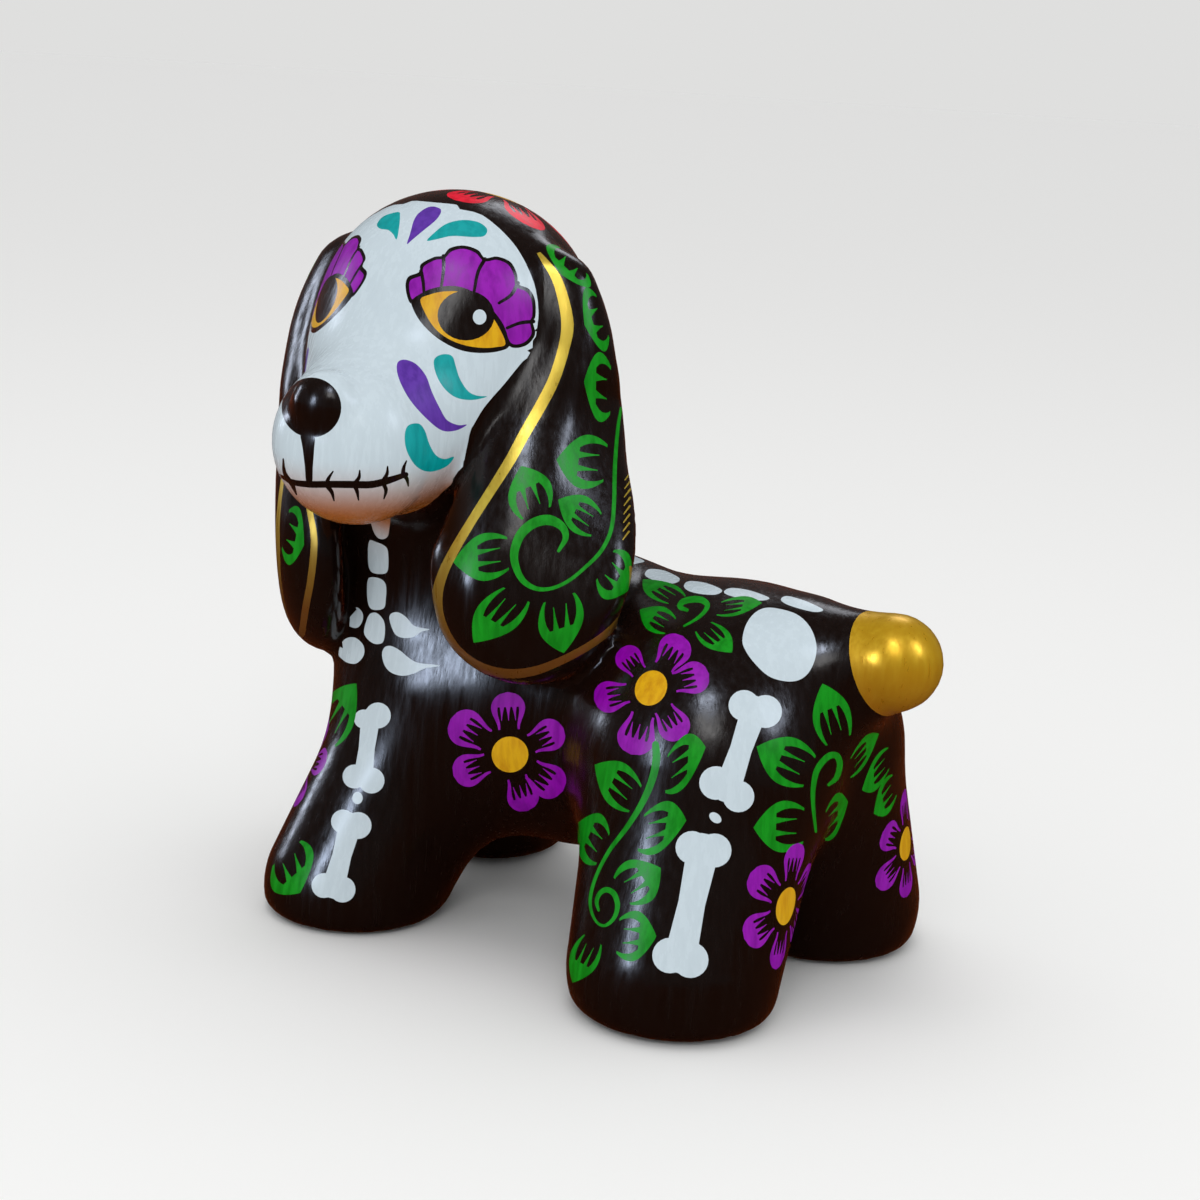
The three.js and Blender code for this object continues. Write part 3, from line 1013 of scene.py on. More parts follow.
# stems: places, and widths spread evenly along them
vines = [
    # the curl on the left ear
    (
        [
            (621, 408), (617.7, 430), (614.9, 467), (614, 504), (611, 530), (601, 551), (584, 568.4),
            (567.5, 581.4), (551, 588.5), (536, 588.5), (523, 580.5), (515.5, 565.6), (514.5, 550.8),
            (521, 534), (534, 523), (549, 520), (562, 526.6), (565.6, 537.8), (558.5, 551),
        ],
        [2.5, 3.5, 4, 4, 4, 4, 3.5, 3.5, 3.5, 4.5, 6, 7.5, 8.5, 9.5, 10, 10.5, 8, 6, 3],
    ),
    # down the near hind leg
    (
        [
            (655.5, 744.5), (656.4, 759), (652.6, 778.2), (643, 801.4), (627.5, 826.4), (610, 849.6),
            (597.6, 872.7), (590.9, 893.9), (590.9, 909.4), (596.6, 922), (605, 925.5), (614, 918),
            (617.5, 905.5), (614, 893.9), (606.3, 889.7), (599.5, 893.9), (596.6, 901.7), (598.6, 910.3),
        ],
        [7, 8, 7.5, 6.5, 5, 4, 3.5, 3.5, 3, 2.5, 3, 4, 5, 5.5, 5.5, 4.5, 4, 2.5],
    ),
    # on the back
    (
        [
            (684, 626), (696, 619.2), (704.6, 611.5), (707.2, 604.6), (701.2, 599.8), (690.9, 599.5),
            (682.5, 602), (680, 607), (687, 610),
        ],
        [2, 3, 4, 5.5, 6.5, 6.5, 6, 5, 3.5],
    ),
    # on the rump
    (
        [
            (815.9, 831.6), (813.3, 805.9), (813.3, 787.9), (817.2, 769.8), (827.5, 757), (836.5, 755.7),
            (839.8, 764.7), (836.5, 777.6), (828.8, 784.8),
        ],
        [2.5, 4, 5, 6, 6.5, 6.5, 6, 5.5, 3],
    ),
]
goldTrim = (
    [
        (535.6, 248.9), (545, 261.5), (555.7, 277), (563, 298), (567.5, 324.3), (563.8, 348),
        (554, 379.3), (540, 407), (524.3, 434), (509.9, 460.5), (491.3, 490), (472.7, 519.2),
        (455, 548.9), (443, 573), (437, 597.2), (440.2, 622), (454.2, 647.3), (476.5, 665),
        (504.3, 673.4), (532.2, 671.5), (560, 661.3), (588, 646.5), (608.4, 631.6), (622.2, 615.8),
        (629.7, 597.2), (631.5, 578.6), (630.5, 567),
    ],
    [
        2, 6.5, 9.5, 11, 12.5, 11.5, 11.5, 11.5, 11, 10.5, 9.5, 9, 9.5, 10, 11, 11, 10, 9, 9.5, 9, 8, 7.5,
        7, 6, 5, 4, 2.5,
    ],
)
# short strokes on the left ear's rim
rimHatch = {"first": [(631, 472), (625, 480)], "apart": (-0.3, 8.5), "count": 8, "widths": [1.9, 1]}
# on the right ear
farLeaf = [(304, 545), (290, 506), (281, 553)]
farTrim = (
    [(308.5, 505), (313.6, 533), (313.6, 554.4), (310.4, 582.2), (306, 605.8), (301.8, 634)],
    [5.5, 6.5, 7, 7, 7, 6.5],
)


def dropMarks(drops):
    return [(paint, [blob(*points)], ["head"]) for paint, points in drops]


def eyeMarks(glint=True):
    marks = [("black", [blob(*mask["lidOutline"]), blob(*mask["eyeOutline"])], ["head"])]
    marks.append(("purple", [inset(blob(*mask["lid"]), mask["lidInset"])], ["head"]))
    marks.append(("black", [stroke(fold, mask["foldWidths"], 4) for fold in mask["lidFolds"]], ["head"]))
    marks.append(("yellow", [inset(blob(*mask["eye"]), mask["eyeInset"])], ["head"]))
    at, across, high = mask["pupil"]
    marks.append(("black", [disc(at, across, high)], ["head"]))
    if glint:
        at, across, high = mask["glint"]
        marks.append(("white", [disc(at, across, high)], ["head"]))
    return marks


def noseMarks():
    at, across, high = mask["nose"]
    shapes = [disc(at, across, high, steps=40), blob(*mask["philtrum"], steps=3)]
    shapes.append(stroke(mask["mouth"], mask["mouthWidths"]))
    shapes += [stroke(line, mask["stitchWidths"], 4) for line in mask["stitches"]]
    return [("black", shapes, ["head"])]


def leaves(table):
    return [shape for each in table for shape in leaf(*each)]


def legMarks(more=()):
    # the legs' bones and the dots between them, which both sides carry
    marks = []
    for each in bones["legBones"]:
        marks.append(("white", bone(each["knobs"], each["radii"], each["shaft"]), bodyAndTail))
    dots = [disc(at, a, b, turn) for at, a, b, turn in bones["dots"]]
    return marks + [("white", dots + list(more), bodyAndTail)]


def bodyMarks():
    plain = bones["neckBones"] + bones["ribs"] + bones["spine"] + [bones["hip"]]
    marks = [("white", [blob(*points) for points in plain], bodyAndTail),
             ("white", [blob(*bones["neckBones"][0])], ["head"])]
    marks += legMarks()
    for each in flowers:
        across, high, turn = each["heart"]
        for paint, shapes in flower(each["centre"], each["tips"], disc(each["centre"], across, high, turn)):
            marks.append((paint, shapes, bodyAndTail))
    marks.append(("green", leaves(bodyLeaves), bodyAndTail))
    marks.append(("green", [stroke(*vine) for vine in vines[1:]], bodyAndTail))
    return marks


def earMarks():
    hatch = []
    for i in range(rimHatch["count"]):
        x, y = (i * step for step in rimHatch["apart"])
        hatch.append(stroke([(a + x, b + y) for a, b in rimHatch["first"]], rimHatch["widths"], 2))
    return [
        ("green", leaves(earLeaves), ["leftEar"]),
        ("green", [stroke(*vines[0])], ["leftEar"]),
        ("gold", [stroke(*goldTrim, steps=4)], ["leftEar"]),
        ("gold", hatch, ["leftEar"]),
        ("gold", [stroke(*farTrim)], ["rightEar"]),
        ("green", leaf(*farLeaf), ["rightEar"]),
    ]


# the sides that the photograph doesn't show carry the same motifs, laid out in millimetres
hidden = {
    "bodyFrom": 3, "headTo": -2,   # the far side begins at these places across the body and across the head
    # the far foreleg's step comes in below one height and ahead of one place, each over a length
    "foreleg": {"below": 46, "fall": 40, "ahead": 5, "run": 20},
    # start of a line to the clay, its direction, radius, turn of the first petal in degrees
    "flowers": [
        {"start": (120, -24, 27), "way": (-1, 0, 0), "reach": 13.5, "turn": 78},   # near hind leg
        {"start": (120, 29, 28), "way": (-1, 0, 0), "reach": 13, "turn": 95},   # far hind leg
        {"start": (-120, -49, 31.5), "way": (1, 0.25, 0), "reach": 12.5, "turn": 30},   # near foreleg
        {"start": (8, 120, 58), "way": (0, -1, 0), "reach": 14, "turn": 20},   # far flank
        {"start": (-30, 120, 70), "way": (0, -1, 0), "reach": 13, "turn": 50},   # far shoulder
        {"start": (-36, 120, 128), "way": (0, -1, 0), "reach": 14, "turn": 30},   # nape
    ],
    "crown": {
        "start": (-27.5, -4.5, 250), "way": (0, 0, -1), "reach": 17.5, "turn": -28,
        "facing": (0.05, 0, 1),
    },
    "flowerWithin": 26, "crownWithin": 34,   # millimetres from a flower's middle that may take its marks
    "backFrom": 70, "backTo": 100,   # heights between which the vertebrae lie
    "spine": [(-6, -5, 5, 4.4), (8, -5, 5, 4.4)],   # place along the back, the two sides, half the length
    "rightEarLeaves": [
        [(7, 10), (-4, 17), (-5, 5)], [(9, -4), (-4, 2), (-5, -10)], [(12, -19), (-2, -12), (-4, -25)],
        [(19, -33), (7, -27), (5, -39)], [(22, -50), (9, -46), (9, -56)], [(15, -66), (8, -54), (1, -62)],
        [(-3, -71), (3, -59), (-7, -58)], [(-18, -60), (-8, -55), (-12, -47)],
        [(-20, -42), (-13, -36), (-9, -46)],
    ],
    "rightEarCurl": (
        [(-2, -2), (-4, -18), (-9, -32), (-6, -47), (2, -51), (8, -46), (7, -38), (0, -36), (-2, -41)],
        [0.8, 1, 1, 1.2, 1.8, 2.4, 2.4, 1.8, 0.6],
    ),
    "rightEarTrim": (
        [
            (23.5, -32), (25, -50), (20, -65), (9, -73), (-4, -73.5), (-15, -67), (-21, -56), (-21, -42),
            (-15, -28), (-10, -14),
        ],
        [0.5, 2.4, 2.3, 2.3, 2.2, 2.1, 2, 1.9, 1.4, 0.4],
    ),
}


def pixelRay(x, y):
    across, upward, back = viewAxes()
    half = viewpoint["frame"] / 2
    return (x - half) / viewpoint["focal"] * across - (y - half) / viewpoint["focal"] * upward - back


def onClayAt(x, y):
    # the place on the clay that shows at x, y in the frame
    return onClay(pixelRay(x, y), viewPoint())


def maskBorder():
    # below zero inside the mask: in front of the painted edge, and on the head's side of the neck
    line = toHead(np.array([onClayAt(x, y) for x, y in mask["maskEdge"]]))
    line = line[np.argsort(-line[:, 2])]

    def border(p):
        q = toHead(p)
        trunk, neckPart, _, skull, web, *_ = partFields(p)
        edge = np.interp(-q[:, 2], -line[:, 2], line[:, 1])
        return np.maximum(edge - q[:, 1], skull - np.minimum(np.minimum(trunk, neckPart), web))

    return border


tailRing = {"at": 105.6, "slant": 0.4, "above": 55}   # along the body, slope with the height, least height


def tailBorder(p):
    # below zero where the tail is gold: beyond a slanting ring, and not on the legs
    ring = tailRing["at"] - p[:, 0] - tailRing["slant"] * p[:, 2]
    return np.maximum(ring, tailRing["above"] - p[:, 2])


def roundedBox(at, half, corner=0.55):
    # a vertebra seen from above
    c = corner
    places = [(-1, -c), (-1, c), (-c, 1), (c, 1), (1, c), (1, -c), (c, -1), (-c, -1)]
    return blob(*[(at[0] + a * half[0], at[1] + b * half[1]) for a, b in places], steps=3)


def petalStencil():
    # Geometry Nodes that repeat one petal's outlines round a heart
    tree = bpy.data.node_groups.new("petals round a heart", "GeometryNodeTree")
    inputs = {"Petal": "Geometry", "Count": "Int", "Reach": "Float", "Turn": "Float", "Paint": "Material"}
    sockets = {}
    for name, kind in inputs.items():
        socket = tree.interface.new_socket(name, in_out="INPUT", socket_type="NodeSocket" + kind)
        sockets[name] = socket.identifier
    tree.interface.new_socket("Petals", in_out="OUTPUT", socket_type="NodeSocketGeometry")
    given = addNode(tree, "NodeGroupInput")
    points = addNode(tree, "GeometryNodePoints", links={"Count": given.outputs["Count"]})
    number = addNode(tree, "GeometryNodeInputIndex")
    step = addNode(tree, "ShaderNodeMath", {"operation": "DIVIDE"}, {0: 2 * math.pi},
                   {1: given.outputs["Count"]})
    angle = addNode(tree, "ShaderNodeMath", {"operation": "MULTIPLY_ADD"},
                    links={0: number.outputs[0], 1: step.outputs[0], 2: given.outputs["Turn"]})
    turned = addNode(tree, "ShaderNodeCombineXYZ", links={"Z": angle.outputs[0]})
    placed = addNode(tree, "GeometryNodeInstanceOnPoints", links={
        "Points": points.outputs[0], "Instance": given.outputs["Petal"],
        "Rotation": turned.outputs[0], "Scale": given.outputs["Reach"],
    })
    real = addNode(tree, "GeometryNodeRealizeInstances", links={"Geometry": placed.outputs[0]})
    painted = addNode(tree, "GeometryNodeSetMaterial",
                      links={"Geometry": real.outputs[0], "Material": given.outputs["Paint"]})
    addNode(tree, "NodeGroupOutput", links={"Petals": painted.outputs[0]})
    return tree, sockets


def petalsRound(stencil, reach, turn, count=6):
    # the outlines of a flower's petals, read back from the stencil
    tree, sockets = stencil
    foot, half = flowerShape["petalFrom"], flowerShape["petalHalf"]
    shapes = petal((1, 0), (foot, half), (foot, -half))
    mesh = bpy.data.meshes.new("petal")
    corners = [(x, y, 0) for shape in shapes for x, y in shape]
    starts = np.cumsum([0] + [len(shape) for shape in shapes]).tolist()
    mesh.from_pydata(corners, [], [list(range(a, b)) for a, b in zip(starts, starts[1:])])
    stamp = addObject("petal", mesh)
    layout = stamp.modifiers.new("petals", "NODES")
    layout.node_group = tree
    layout[sockets["Count"]] = count
    layout[sockets["Reach"]] = float(reach)
    layout[sockets["Turn"]] = math.radians(turn)
    layout[sockets["Paint"]] = paintOf["purple"]
    evaluated = stamp.evaluated_get(bpy.context.evaluated_depsgraph_get())
    laid = bpy.data.meshes.new_from_object(evaluated)
    outlines = [np.array([laid.vertices[v].co[:2] for v in polygon.vertices]) for polygon in laid.polygons]
    stamp.modifiers.remove(layout)
    bpy.data.objects.remove(stamp)
    bpy.data.meshes.remove(laid)
    return outlines


def flowerMarks(each, paint="purple"):
    petals = petalsRound(stencil, each["reach"], each["turn"])
    heart = disc((0, 0), flowerShape["heart"] * each["reach"])
    return [(paint, petals, ["body", "head"]), ("yellow", [heart], ["body", "head"])]


def besideEars(p):
    # partFields puts the two ears last
    return np.argmin(partFields(p), axis=0) < 5


def onFarBody(p):
    return p[:, 1] > hidden["bodyFrom"]


def onFarHead(p):
    return toHead(p)[:, 0] < hidden["headTo"]


def onBack(p):
    return (p[:, 2] > hidden["backFrom"]) & (p[:, 2] < hidden["backTo"])


def mirrorBody(p):
    # the places on the near side that the far side's marks are taken from
    leg = hidden["foreleg"]
    low = np.clip((leg["below"] - p[:, 2]) / leg["fall"], 0, 1)
    ahead = np.clip((-p[:, 0] - leg["ahead"]) / leg["run"], 0, 1)
    return np.column_stack([p[:, 0] - legs["rightStep"] * low * ahead, -p[:, 1], p[:, 2]])


def hiddenSides():
    green = leaves(bodyLeaves[:7]) + [stroke(*vines[1])]   # the near hind leg's
    marks = legMarks([blob(*bones["hip"])]) + [("green", green, bodyAndTail)]
    imprint(figure, frontView(mirrorBody), marks, onFarBody)
    imprint(figure, frontView(mirrorHead(mask["farEyeShift"])), eyeMarks(glint=False), onFarHead)
    imprint(figure, frontView(mirrorHead(mask["farCheekShift"])), dropMarks(mask["cheekDrops"]), onFarHead)
    under = [("black", [blob(*mask["underNearEar"], steps=3)], ["head", "body"])]
    imprint(figure, frontView(), under, besideEars, halfHidden=True)
    # the back seen from above
    top = sideView((0, 0, 90), (0, 0, 1), upward=(1, 0, 0))
    boxes = [roundedBox((-(a + b) / 2, x), ((b - a) / 2, long)) for x, a, b, long in hidden["spine"]]
    imprint(figure, top, [("white", boxes, bodyAndTail)], onBack)
    # the right ear in the head's own frame: fore and up
    axes = fromHead(np.eye(3)) - np.array(head["at"])
    green = leaves(hidden["rightEarLeaves"]) + [stroke(*hidden["rightEarCurl"])]
    marks = [("green", green, ["rightEar"]), ("gold", [stroke(*hidden["rightEarTrim"])], ["rightEar"])]
    imprint(figure, sideView(head["at"], -axes[0], upward=axes[2]), marks)
    for each in hidden["flowers"]:
        at = onClay(each["way"], each["start"])
        view = sideView(at, slopeOf(at[None])[0], reach=hidden["flowerWithin"])
        imprint(figure, view, flowerMarks(each))
    each = hidden["crown"]
    at = onClay(each["way"], each["start"])
    view = sideView(at, each["facing"], upward=(0, 1, 0), reach=hidden["crownWithin"])
    imprint(figure, view, flowerMarks(each, "red"))


def srgb(hexValue):
    # a web colour as the linear colour that a shader takes
    parts = [int(hexValue[i:i + 2], 16) / 255 for i in (1, 3, 5)]
    linear = [c / 12.92 if c <= 0.04045 else ((c + 0.055) / 1.055) ** 2.4 for c in parts]
    return (*linear, 1.0)


def addObject(name, data):
    thing = bpy.data.objects.new(name, data)
    bpy.context.scene.collection.objects.link(thing)
    return thing


def addNode(tree, kind, settings=None, inputs=None, links=None):
    node = tree.nodes.new(kind)
    for name, value in (settings or {}).items():
        setattr(node, name, value)
    for name, value in (inputs or {}).items():
        node.inputs[name].default_value = value
    for name, source in (links or {}).items():
        tree.links.new(source, node.inputs[name])
    return node


def newMaterial(name):
    material = bpy.data.materials.new(name)
    material.use_nodes = True
    material.node_tree.nodes.clear()
    return material, material.node_tree


# Black gloss enamel, brushed on fired clay: almost black with a warm cast, and a broad soft shine
# that the bristles have combed into fine streaks.
blackEnamelLook = {
    "full": "#0e0604", "thin": "#1a0c06",
    "bristles": 0.7, "strokeLength": 12.0,     # millimetres between bristle marks, and along one
    "roughness": (0.14, 0.3), "relief": 0.09, "bump": 0.5, "level": 0.4,   # relief in millimetres
    # the warm sheen tint is a painted reflection: it lays a warm brown glow on the rims at grazing angles
    "sheen": 0.2, "sheenTint": "#c8541c", "sheenRoughness": 0.3,
}
# Acrylic craft paint laid on with a small brush, under the same clear varnish: opaque in the middle
# of a stroke, and thin enough here and there for the black to darken it.
acrylic = {
    "bristles": 0.8, "strokeLength": 5.0, "cover": (0.34, 0.6), "roughness": (0.28, 0.4),
    "relief": 0.03, "bump": 0.2, "level": 0.22,
    "underFrom": -0.05, "underTo": -0.85,   # how far the clay faces down as the painted underside shade sets in
}
acrylicLooks = {
    # the white's under colour is painted shade and warm reflected light on its underside
    "white": {"full": "#cad8e0", "thin": "#c4d2da", "cover": (0.30, 0.66), "roughness": (0.25, 0.29),
              "relief": 0.003, "under": "#a05a26"},
    "teal": {"full": "#00a2a4", "thin": "#009294"},
    "violet": {"full": "#6234a8", "thin": "#542c96"},
    "purple": {"full": "#9600b0", "thin": "#800098", "roughness": (0.28, 0.42)},
    "green": {"full": "#00960c", "thin": "#007c08", "roughness": (0.28, 0.42)},
    "yellow": {"full": "#dfaa00", "thin": "#cc9000", "roughness": (0.28, 0.38)},
    "red": {"full": "#ee0430", "thin": "#d00426", "roughness": (0.28, 0.38)},
}
# Gold metallic paint, a bronze powder in varnish: a warm metal with the brush's streaks in its shine.
bronzePowder = {
    "bristles": 0.6, "strokeLength": 9.0, "roughness": (0.26, 0.4), "relief": 0.06, "bump": 0.6,
    "metallic": 0.5,
}
goldLooks = {   # lowFrom and lowTo: millimetres up between which the painted shade, browner and darker towards the bottom, gives way
    "gold": {"full": "#dcc444", "thin": "#bf9a2c", "low": "#84501a", "lowFrom": 72, "lowTo": 104},
    "tailGold": {"full": "#ecc020", "thin": "#d89c14", "low": "#a85406", "lowFrom": 62, "lowTo": 80},
}
streaks = {"detail": 3, "roughness": 0.6, "low": 0.3, "high": 0.7}   # most of the noise is from low to high


def brushWork(tree, look):
    # noise drawn out along the height, as upright brush strokes are, and the roughness and relief it gives
    spot = addNode(tree, "ShaderNodeTexCoord")
    squeeze = look["bristles"] / look["strokeLength"]
    drawn = addNode(tree, "ShaderNodeMapping", inputs={"Scale": (1, 1, squeeze)},
                    links={"Vector": spot.outputs["Object"]})
    marks = addNode(tree, "ShaderNodeTexNoise", inputs={
        "Scale": 0.5 / (look["bristles"] * mm),
        "Detail": streaks["detail"], "Roughness": streaks["roughness"],
    }, links={"Vector": drawn.outputs[0]})
    smooth, rough = look["roughness"]
    spread = addNode(tree, "ShaderNodeMapRange", inputs={
        "From Min": streaks["low"], "From Max": streaks["high"], "To Min": smooth, "To Max": rough,
    }, links={"Value": marks.outputs[0]})
    bump = addNode(tree, "ShaderNodeBump",
                   inputs={"Strength": look["bump"], "Distance": look["relief"] * mm},
                   links={"Height": marks.outputs[0]})
    return marks.outputs[0], {"Roughness": spread.outputs[0], "Normal": bump.outputs[0]}


def blackEnamel(look):
    material, tree = newMaterial("black gloss enamel")
    marks, surface = brushWork(tree, look)
    tone = addNode(tree, "ShaderNodeMix", {"data_type": "RGBA"},
                   {6: srgb(look["full"]), 7: srgb(look["thin"])}, {0: marks})
    shader = addNode(tree, "ShaderNodeBsdfPrincipled", inputs={
        "IOR": 1.5, "Specular IOR Level": look["level"], "Sheen Weight": look["sheen"],
        "Sheen Roughness": look["sheenRoughness"], "Sheen Tint": srgb(look["sheenTint"]),
    }, links={"Base Color": tone.outputs[2], **surface})
    addNode(tree, "ShaderNodeOutputMaterial", links={"Surface": shader.outputs[0]})
    return material


def acrylicPaint(name, look):
    material, tree = newMaterial(name + " acrylic")
    marks, surface = brushWork(tree, look)
    low, high = look["cover"]
    cover = addNode(tree, "ShaderNodeMapRange", inputs={"From Min": low, "From Max": high},
                    links={"Value": marks})
    tone = addNode(tree, "ShaderNodeMix", {"data_type": "RGBA"},
                   {6: srgb(look["thin"]), 7: srgb(look["full"])}, {0: cover.outputs[0]})
    colour = tone.outputs[2]
    if "under" in look:
        # painted shade: where the clay faces down, the white turns towards a darker warm brown, standing in
        # for shade and for warm light thrown up from below
        shape = addNode(tree, "ShaderNodeNewGeometry")
        facing = addNode(tree, "ShaderNodeSeparateXYZ", links={"Vector": shape.outputs["Normal"]})
        down = addNode(tree, "ShaderNodeMapRange", {"interpolation_type": "SMOOTHSTEP"},
                       {"From Min": look["underFrom"], "From Max": look["underTo"]},
                       {"Value": facing.outputs["Z"]})
        paintedUnderShade = addNode(tree, "ShaderNodeMix", {"data_type": "RGBA"}, {7: srgb(look["under"])},
                       {0: down.outputs[0], 6: colour})
        colour = paintedUnderShade.outputs[2]
    shader = addNode(tree, "ShaderNodeBsdfPrincipled",
                     inputs={"IOR": 1.5, "Specular IOR Level": look["level"]},
                     links={"Base Color": colour, **surface})
    addNode(tree, "ShaderNodeOutputMaterial", links={"Surface": shader.outputs[0]})
    return material


def goldPaint(name, look):
    material, tree = newMaterial(name + " bronze powder paint")
    marks, surface = brushWork(tree, look)
    tone = addNode(tree, "ShaderNodeMix", {"data_type": "RGBA"},
                   {6: srgb(look["thin"]), 7: srgb(look["full"])}, {0: marks})
    spot = addNode(tree, "ShaderNodeTexCoord")
    height = addNode(tree, "ShaderNodeSeparateXYZ", links={"Vector": spot.outputs["Object"]})
    high = addNode(tree, "ShaderNodeMapRange",
                   inputs={"From Min": look["lowFrom"] * mm, "From Max": look["lowTo"] * mm},
                   links={"Value": height.outputs["Z"]})
    # painted shade: below lowTo the gold turns browner and darker towards the bottom
    paintedLowShade = addNode(tree, "ShaderNodeMix", {"data_type": "RGBA"}, {6: srgb(look["low"])},
                   {0: high.outputs[0], 7: tone.outputs[2]})
    shader = addNode(tree, "ShaderNodeBsdfPrincipled", inputs={"Metallic": look["metallic"]},
                     links={"Base Color": paintedLowShade.outputs[2], **surface})
    addNode(tree, "ShaderNodeOutputMaterial", links={"Surface": shader.outputs[0]})
    return material


paintOf = {name: acrylicPaint(name, {**acrylic, **look}) for name, look in acrylicLooks.items()}
paintOf["black"] = blackEnamel(blackEnamelLook)
paintOf.update({name: goldPaint(name, {**bronzePowder, **look}) for name, look in goldLooks.items()})
paints = [paintOf[name] for name in paintNames]
print("paints:", len(paints))


stencil = petalStencil()
nameParts(figure)
paintBeyond(figure, "white", maskBorder(), ["head", "body"])
paintBeyond(figure, "tailGold", tailBorder, bodyAndTail)
nameParts(figure)
print("mask and tail:", len(figure["faces"]), "triangles, open edges", openEdges(figure["faces"]))
shown = dropMarks(mask["drops"] + mask["cheekDrops"]) + eyeMarks() + noseMarks() + bodyMarks() + earMarks()
imprint(figure, frontView(), shown, halfHidden=True)
hiddenSides()
print("painting:", len(figure["faces"]), "triangles")


def meshPiece(name, figure):
    mesh = bpy.data.meshes.new(name)
    points = (figure["points"] - np.array(clay["middle"])) * mm
    mesh.from_pydata(points.tolist(), [], figure["faces"].tolist())
    for paint in paints:
        mesh.materials.append(paint)
    mesh.polygons.foreach_set("material_index", figure["paint"])
    mesh.polygons.foreach_set("use_smooth", np.ones(len(figure["faces"]), bool))
    slope = slopeOf(figure["points"])
    normals = slope / np.linalg.norm(slope, axis=1)[:, None]   # the shine follows the clay, not the cuts
    mesh.normals_split_custom_set_from_vertices(normals.tolist())
    mesh.update()
    return addObject(name, mesh)


spaniel = meshPiece("painted_spaniel", figure)
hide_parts("spaniel_figurine")
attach(spaniel, "root")
print("piece:", len(spaniel.data.polygons), "triangles")

studio = {
    "floor": "#f8f8f7", "floorSize": 60.0, "floorDown": 0.2,   # metres across, millimetres below the soles
    "toothScale": 900, "tooth": 0.02, "toothBump": 0.05, "floorRoughness": 0.95, "floorLevel": 0.1,
    "soft": 0.82, "mirrored": 0.07,  # the white tent: its light, and what the varnish mirrors of it
    "farFloor": 0.959,               # how bright the floor is far away, against the tent
    "table": "#4a2410",              # painted reflection: the varnish mirrors a warm dark ground that the floor shows only in reflections
    "aim": 0.08,                     # the lights aim this many metres up
    # degrees from the face's side towards the tail, degrees up, metres away, size, watts, colour
    # and what it gives
    "lights": [
        ("key", 32, 40, 1.2, (0.4, 0.3), 1.7, "#ffffff", "light and shine"),
        ("top", 10, 84, 1.25, (0.5, 0.5), 1.9, "#ffffff", "light"),
        ("low window", -16, 15, 1.1, (0.16, 0.34), 4.2, "#d4e4ff", "shine"),
        ("tail side", 98, 36, 1.1, (0.2, 0.4), 3.0, "#dfeaff", "shine"),
        ("chest side", -84, 12, 1.1, (0.14, 0.4), 1.9, "#dfeaff", "shine"),
        ("behind", 200, 40, 1.3, (0.4, 0.4), 1.4, "#f2f6ff", "shine"),
        ("shoulder", 28, 55, 1.1, (0.2, 0.2), 2.6, "#dfeaff", "shine"),
    ],
}


def floorPiece():
    half, low = studio["floorSize"] / 2, -studio["floorDown"] * mm
    mesh = bpy.data.meshes.new("studio_floor")
    corners = [(-half, -half, low), (half, -half, low), (half, half, low), (-half, half, low)]
    mesh.from_pydata(corners, [], [(0, 1, 2, 3)])
    material, tree = newMaterial("matt white card")   # pressed card: no shine, a faint tooth
    spot = addNode(tree, "ShaderNodeTexCoord")
    tooth = addNode(tree, "ShaderNodeTexNoise", inputs={"Scale": studio["toothScale"]},
                    links={"Vector": spot.outputs["Object"]})
    bump = addNode(tree, "ShaderNodeBump",
                   inputs={"Strength": studio["toothBump"], "Distance": studio["tooth"] * mm},
                   links={"Height": tooth.outputs[0]})
    shader = addNode(tree, "ShaderNodeBsdfPrincipled", inputs={
        "Base Color": srgb(studio["floor"]), "Roughness": studio["floorRoughness"],
        "Specular IOR Level": studio["floorLevel"],
    }, links={"Normal": bump.outputs[0]})
    # painted reflection: in the varnish's reflections the floor shows as a warm dark ground instead of
    # white card
    table = addNode(tree, "ShaderNodeBsdfDiffuse", inputs={"Color": srgb(studio["table"])})
    ray = addNode(tree, "ShaderNodeLightPath")
    both = addNode(tree, "ShaderNodeMixShader",
                   links={0: ray.outputs["Is Glossy Ray"], 1: shader.outputs[0], 2: table.outputs[0]})
    addNode(tree, "ShaderNodeOutputMaterial", links={"Surface": both.outputs[0]})
    mesh.materials.append(material)
    addObject("studio_floor", mesh)


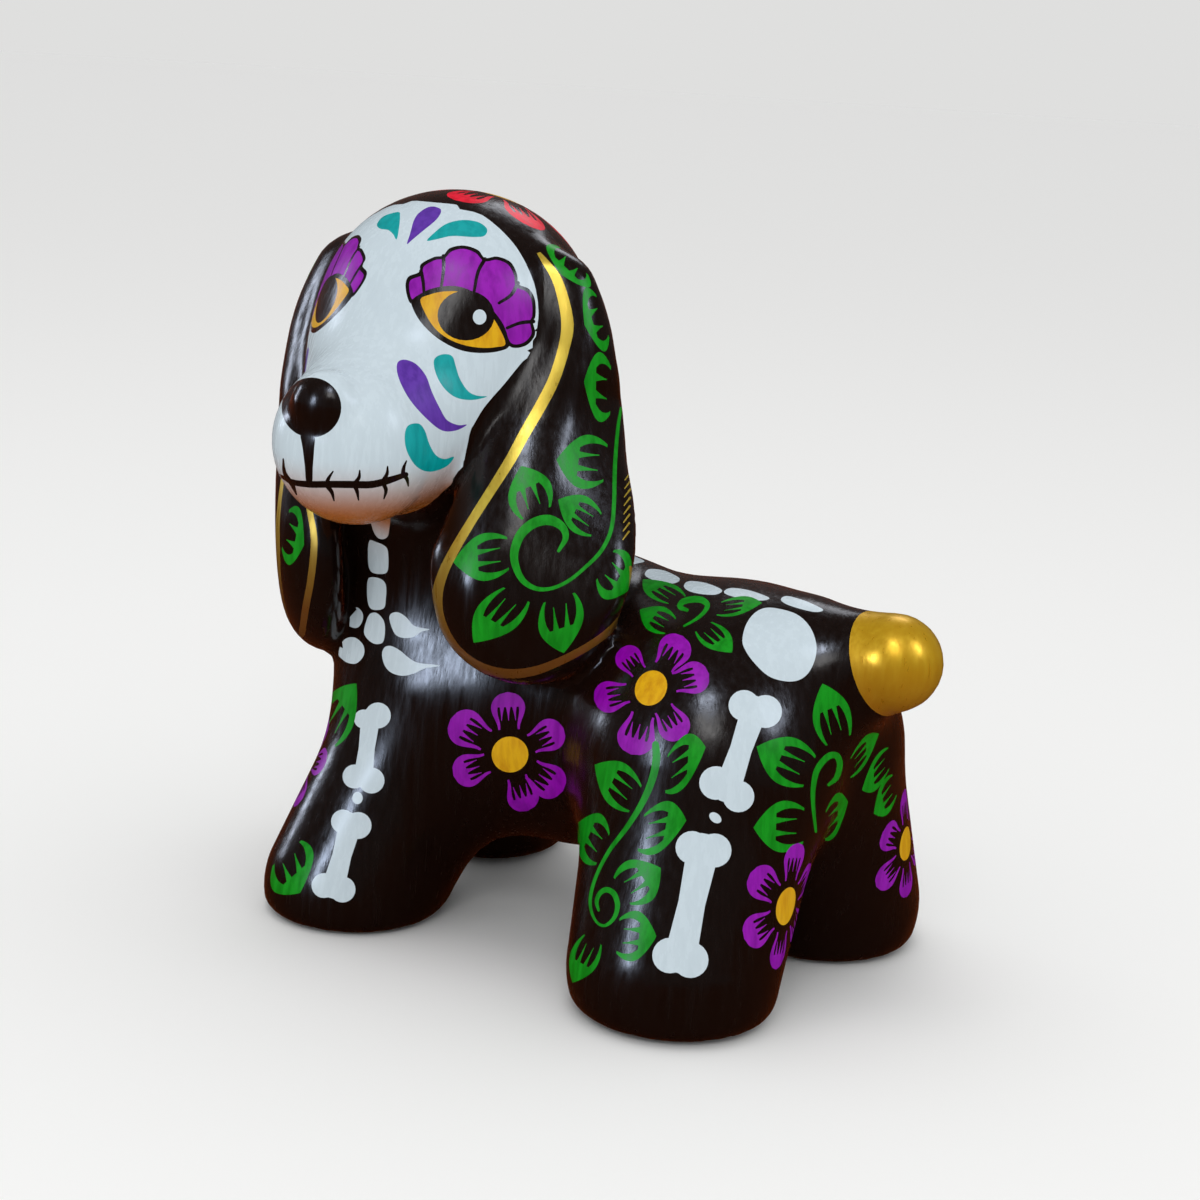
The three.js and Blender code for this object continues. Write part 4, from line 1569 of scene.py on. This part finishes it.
def softbox(name, turn, rise, away, size, watts, colour, gives):
    light = bpy.data.lights.new(name, "AREA")
    light.shape = "RECTANGLE"
    light.size, light.size_y = size
    light.energy = watts
    light.color = srgb(colour)[:3]
    aim = Vector((0, 0, studio["aim"]))
    turn, rise = math.radians(turn), math.radians(rise)
    way = Vector((math.sin(turn) * math.cos(rise), -math.cos(turn) * math.cos(rise), math.sin(rise)))
    box = addObject(name, light)
    box.visible_diffuse = "light" in gives
    box.visible_glossy = "shine" in gives
    box.location = aim + away * way
    box.rotation_euler = way.to_track_quat("Z", "Y").to_euler()


def surround():
    # a white tent: evenly bright as a backdrop, and dim where the varnish mirrors it
    world = bpy.data.worlds.new("white tent")
    world.use_nodes = True
    tree = world.node_tree
    tree.nodes.clear()
    ray = addNode(tree, "ShaderNodeLightPath")
    glows = []
    for colour, strength in (
        ("#ffffff", studio["soft"]),                              # what lights the piece
        ("#ffffff", studio["mirrored"]),                          # what the varnish mirrors
        (studio["floor"], studio["soft"] * studio["farFloor"]),   # what the camera sees
    ):
        glow = addNode(tree, "ShaderNodeBackground", inputs={"Color": srgb(colour), "Strength": strength})
        glows.append(glow.outputs[0])
    light = addNode(tree, "ShaderNodeMixShader",
                    links={0: ray.outputs["Is Glossy Ray"], 1: glows[0], 2: glows[1]})
    both = addNode(tree, "ShaderNodeMixShader",
                   links={0: ray.outputs["Is Camera Ray"], 1: light.outputs[0], 2: glows[2]})
    addNode(tree, "ShaderNodeOutputWorld", links={"Surface": both.outputs[0]})
    bpy.context.scene.world = world


floorPiece()
for each in studio["lights"]:
    softbox(*each)
surround()
bpy.context.scene.view_settings.view_transform = "Standard"   # keeps the paints' own colours


def photoCamera():
    across, upward, back = viewAxes()
    camera = bpy.data.cameras.new("camera")
    camera.sensor_width = 36
    camera.lens = viewpoint["focal"] * camera.sensor_width / viewpoint["frame"]
    camera.clip_start, camera.clip_end = 0.01, 50   # metres
    rig = addObject("camera", camera)
    at = (np.array(viewpoint["target"]) + viewpoint["distance"] * back - np.array(clay["middle"])) * mm
    turned = Matrix(np.stack([across, upward, back], 1).tolist())
    rig.matrix_world = Matrix.Translation(at.tolist()) @ turned.to_4x4()
    bpy.context.scene.camera = rig


photoCamera()
print("studio: floor, lights and camera")
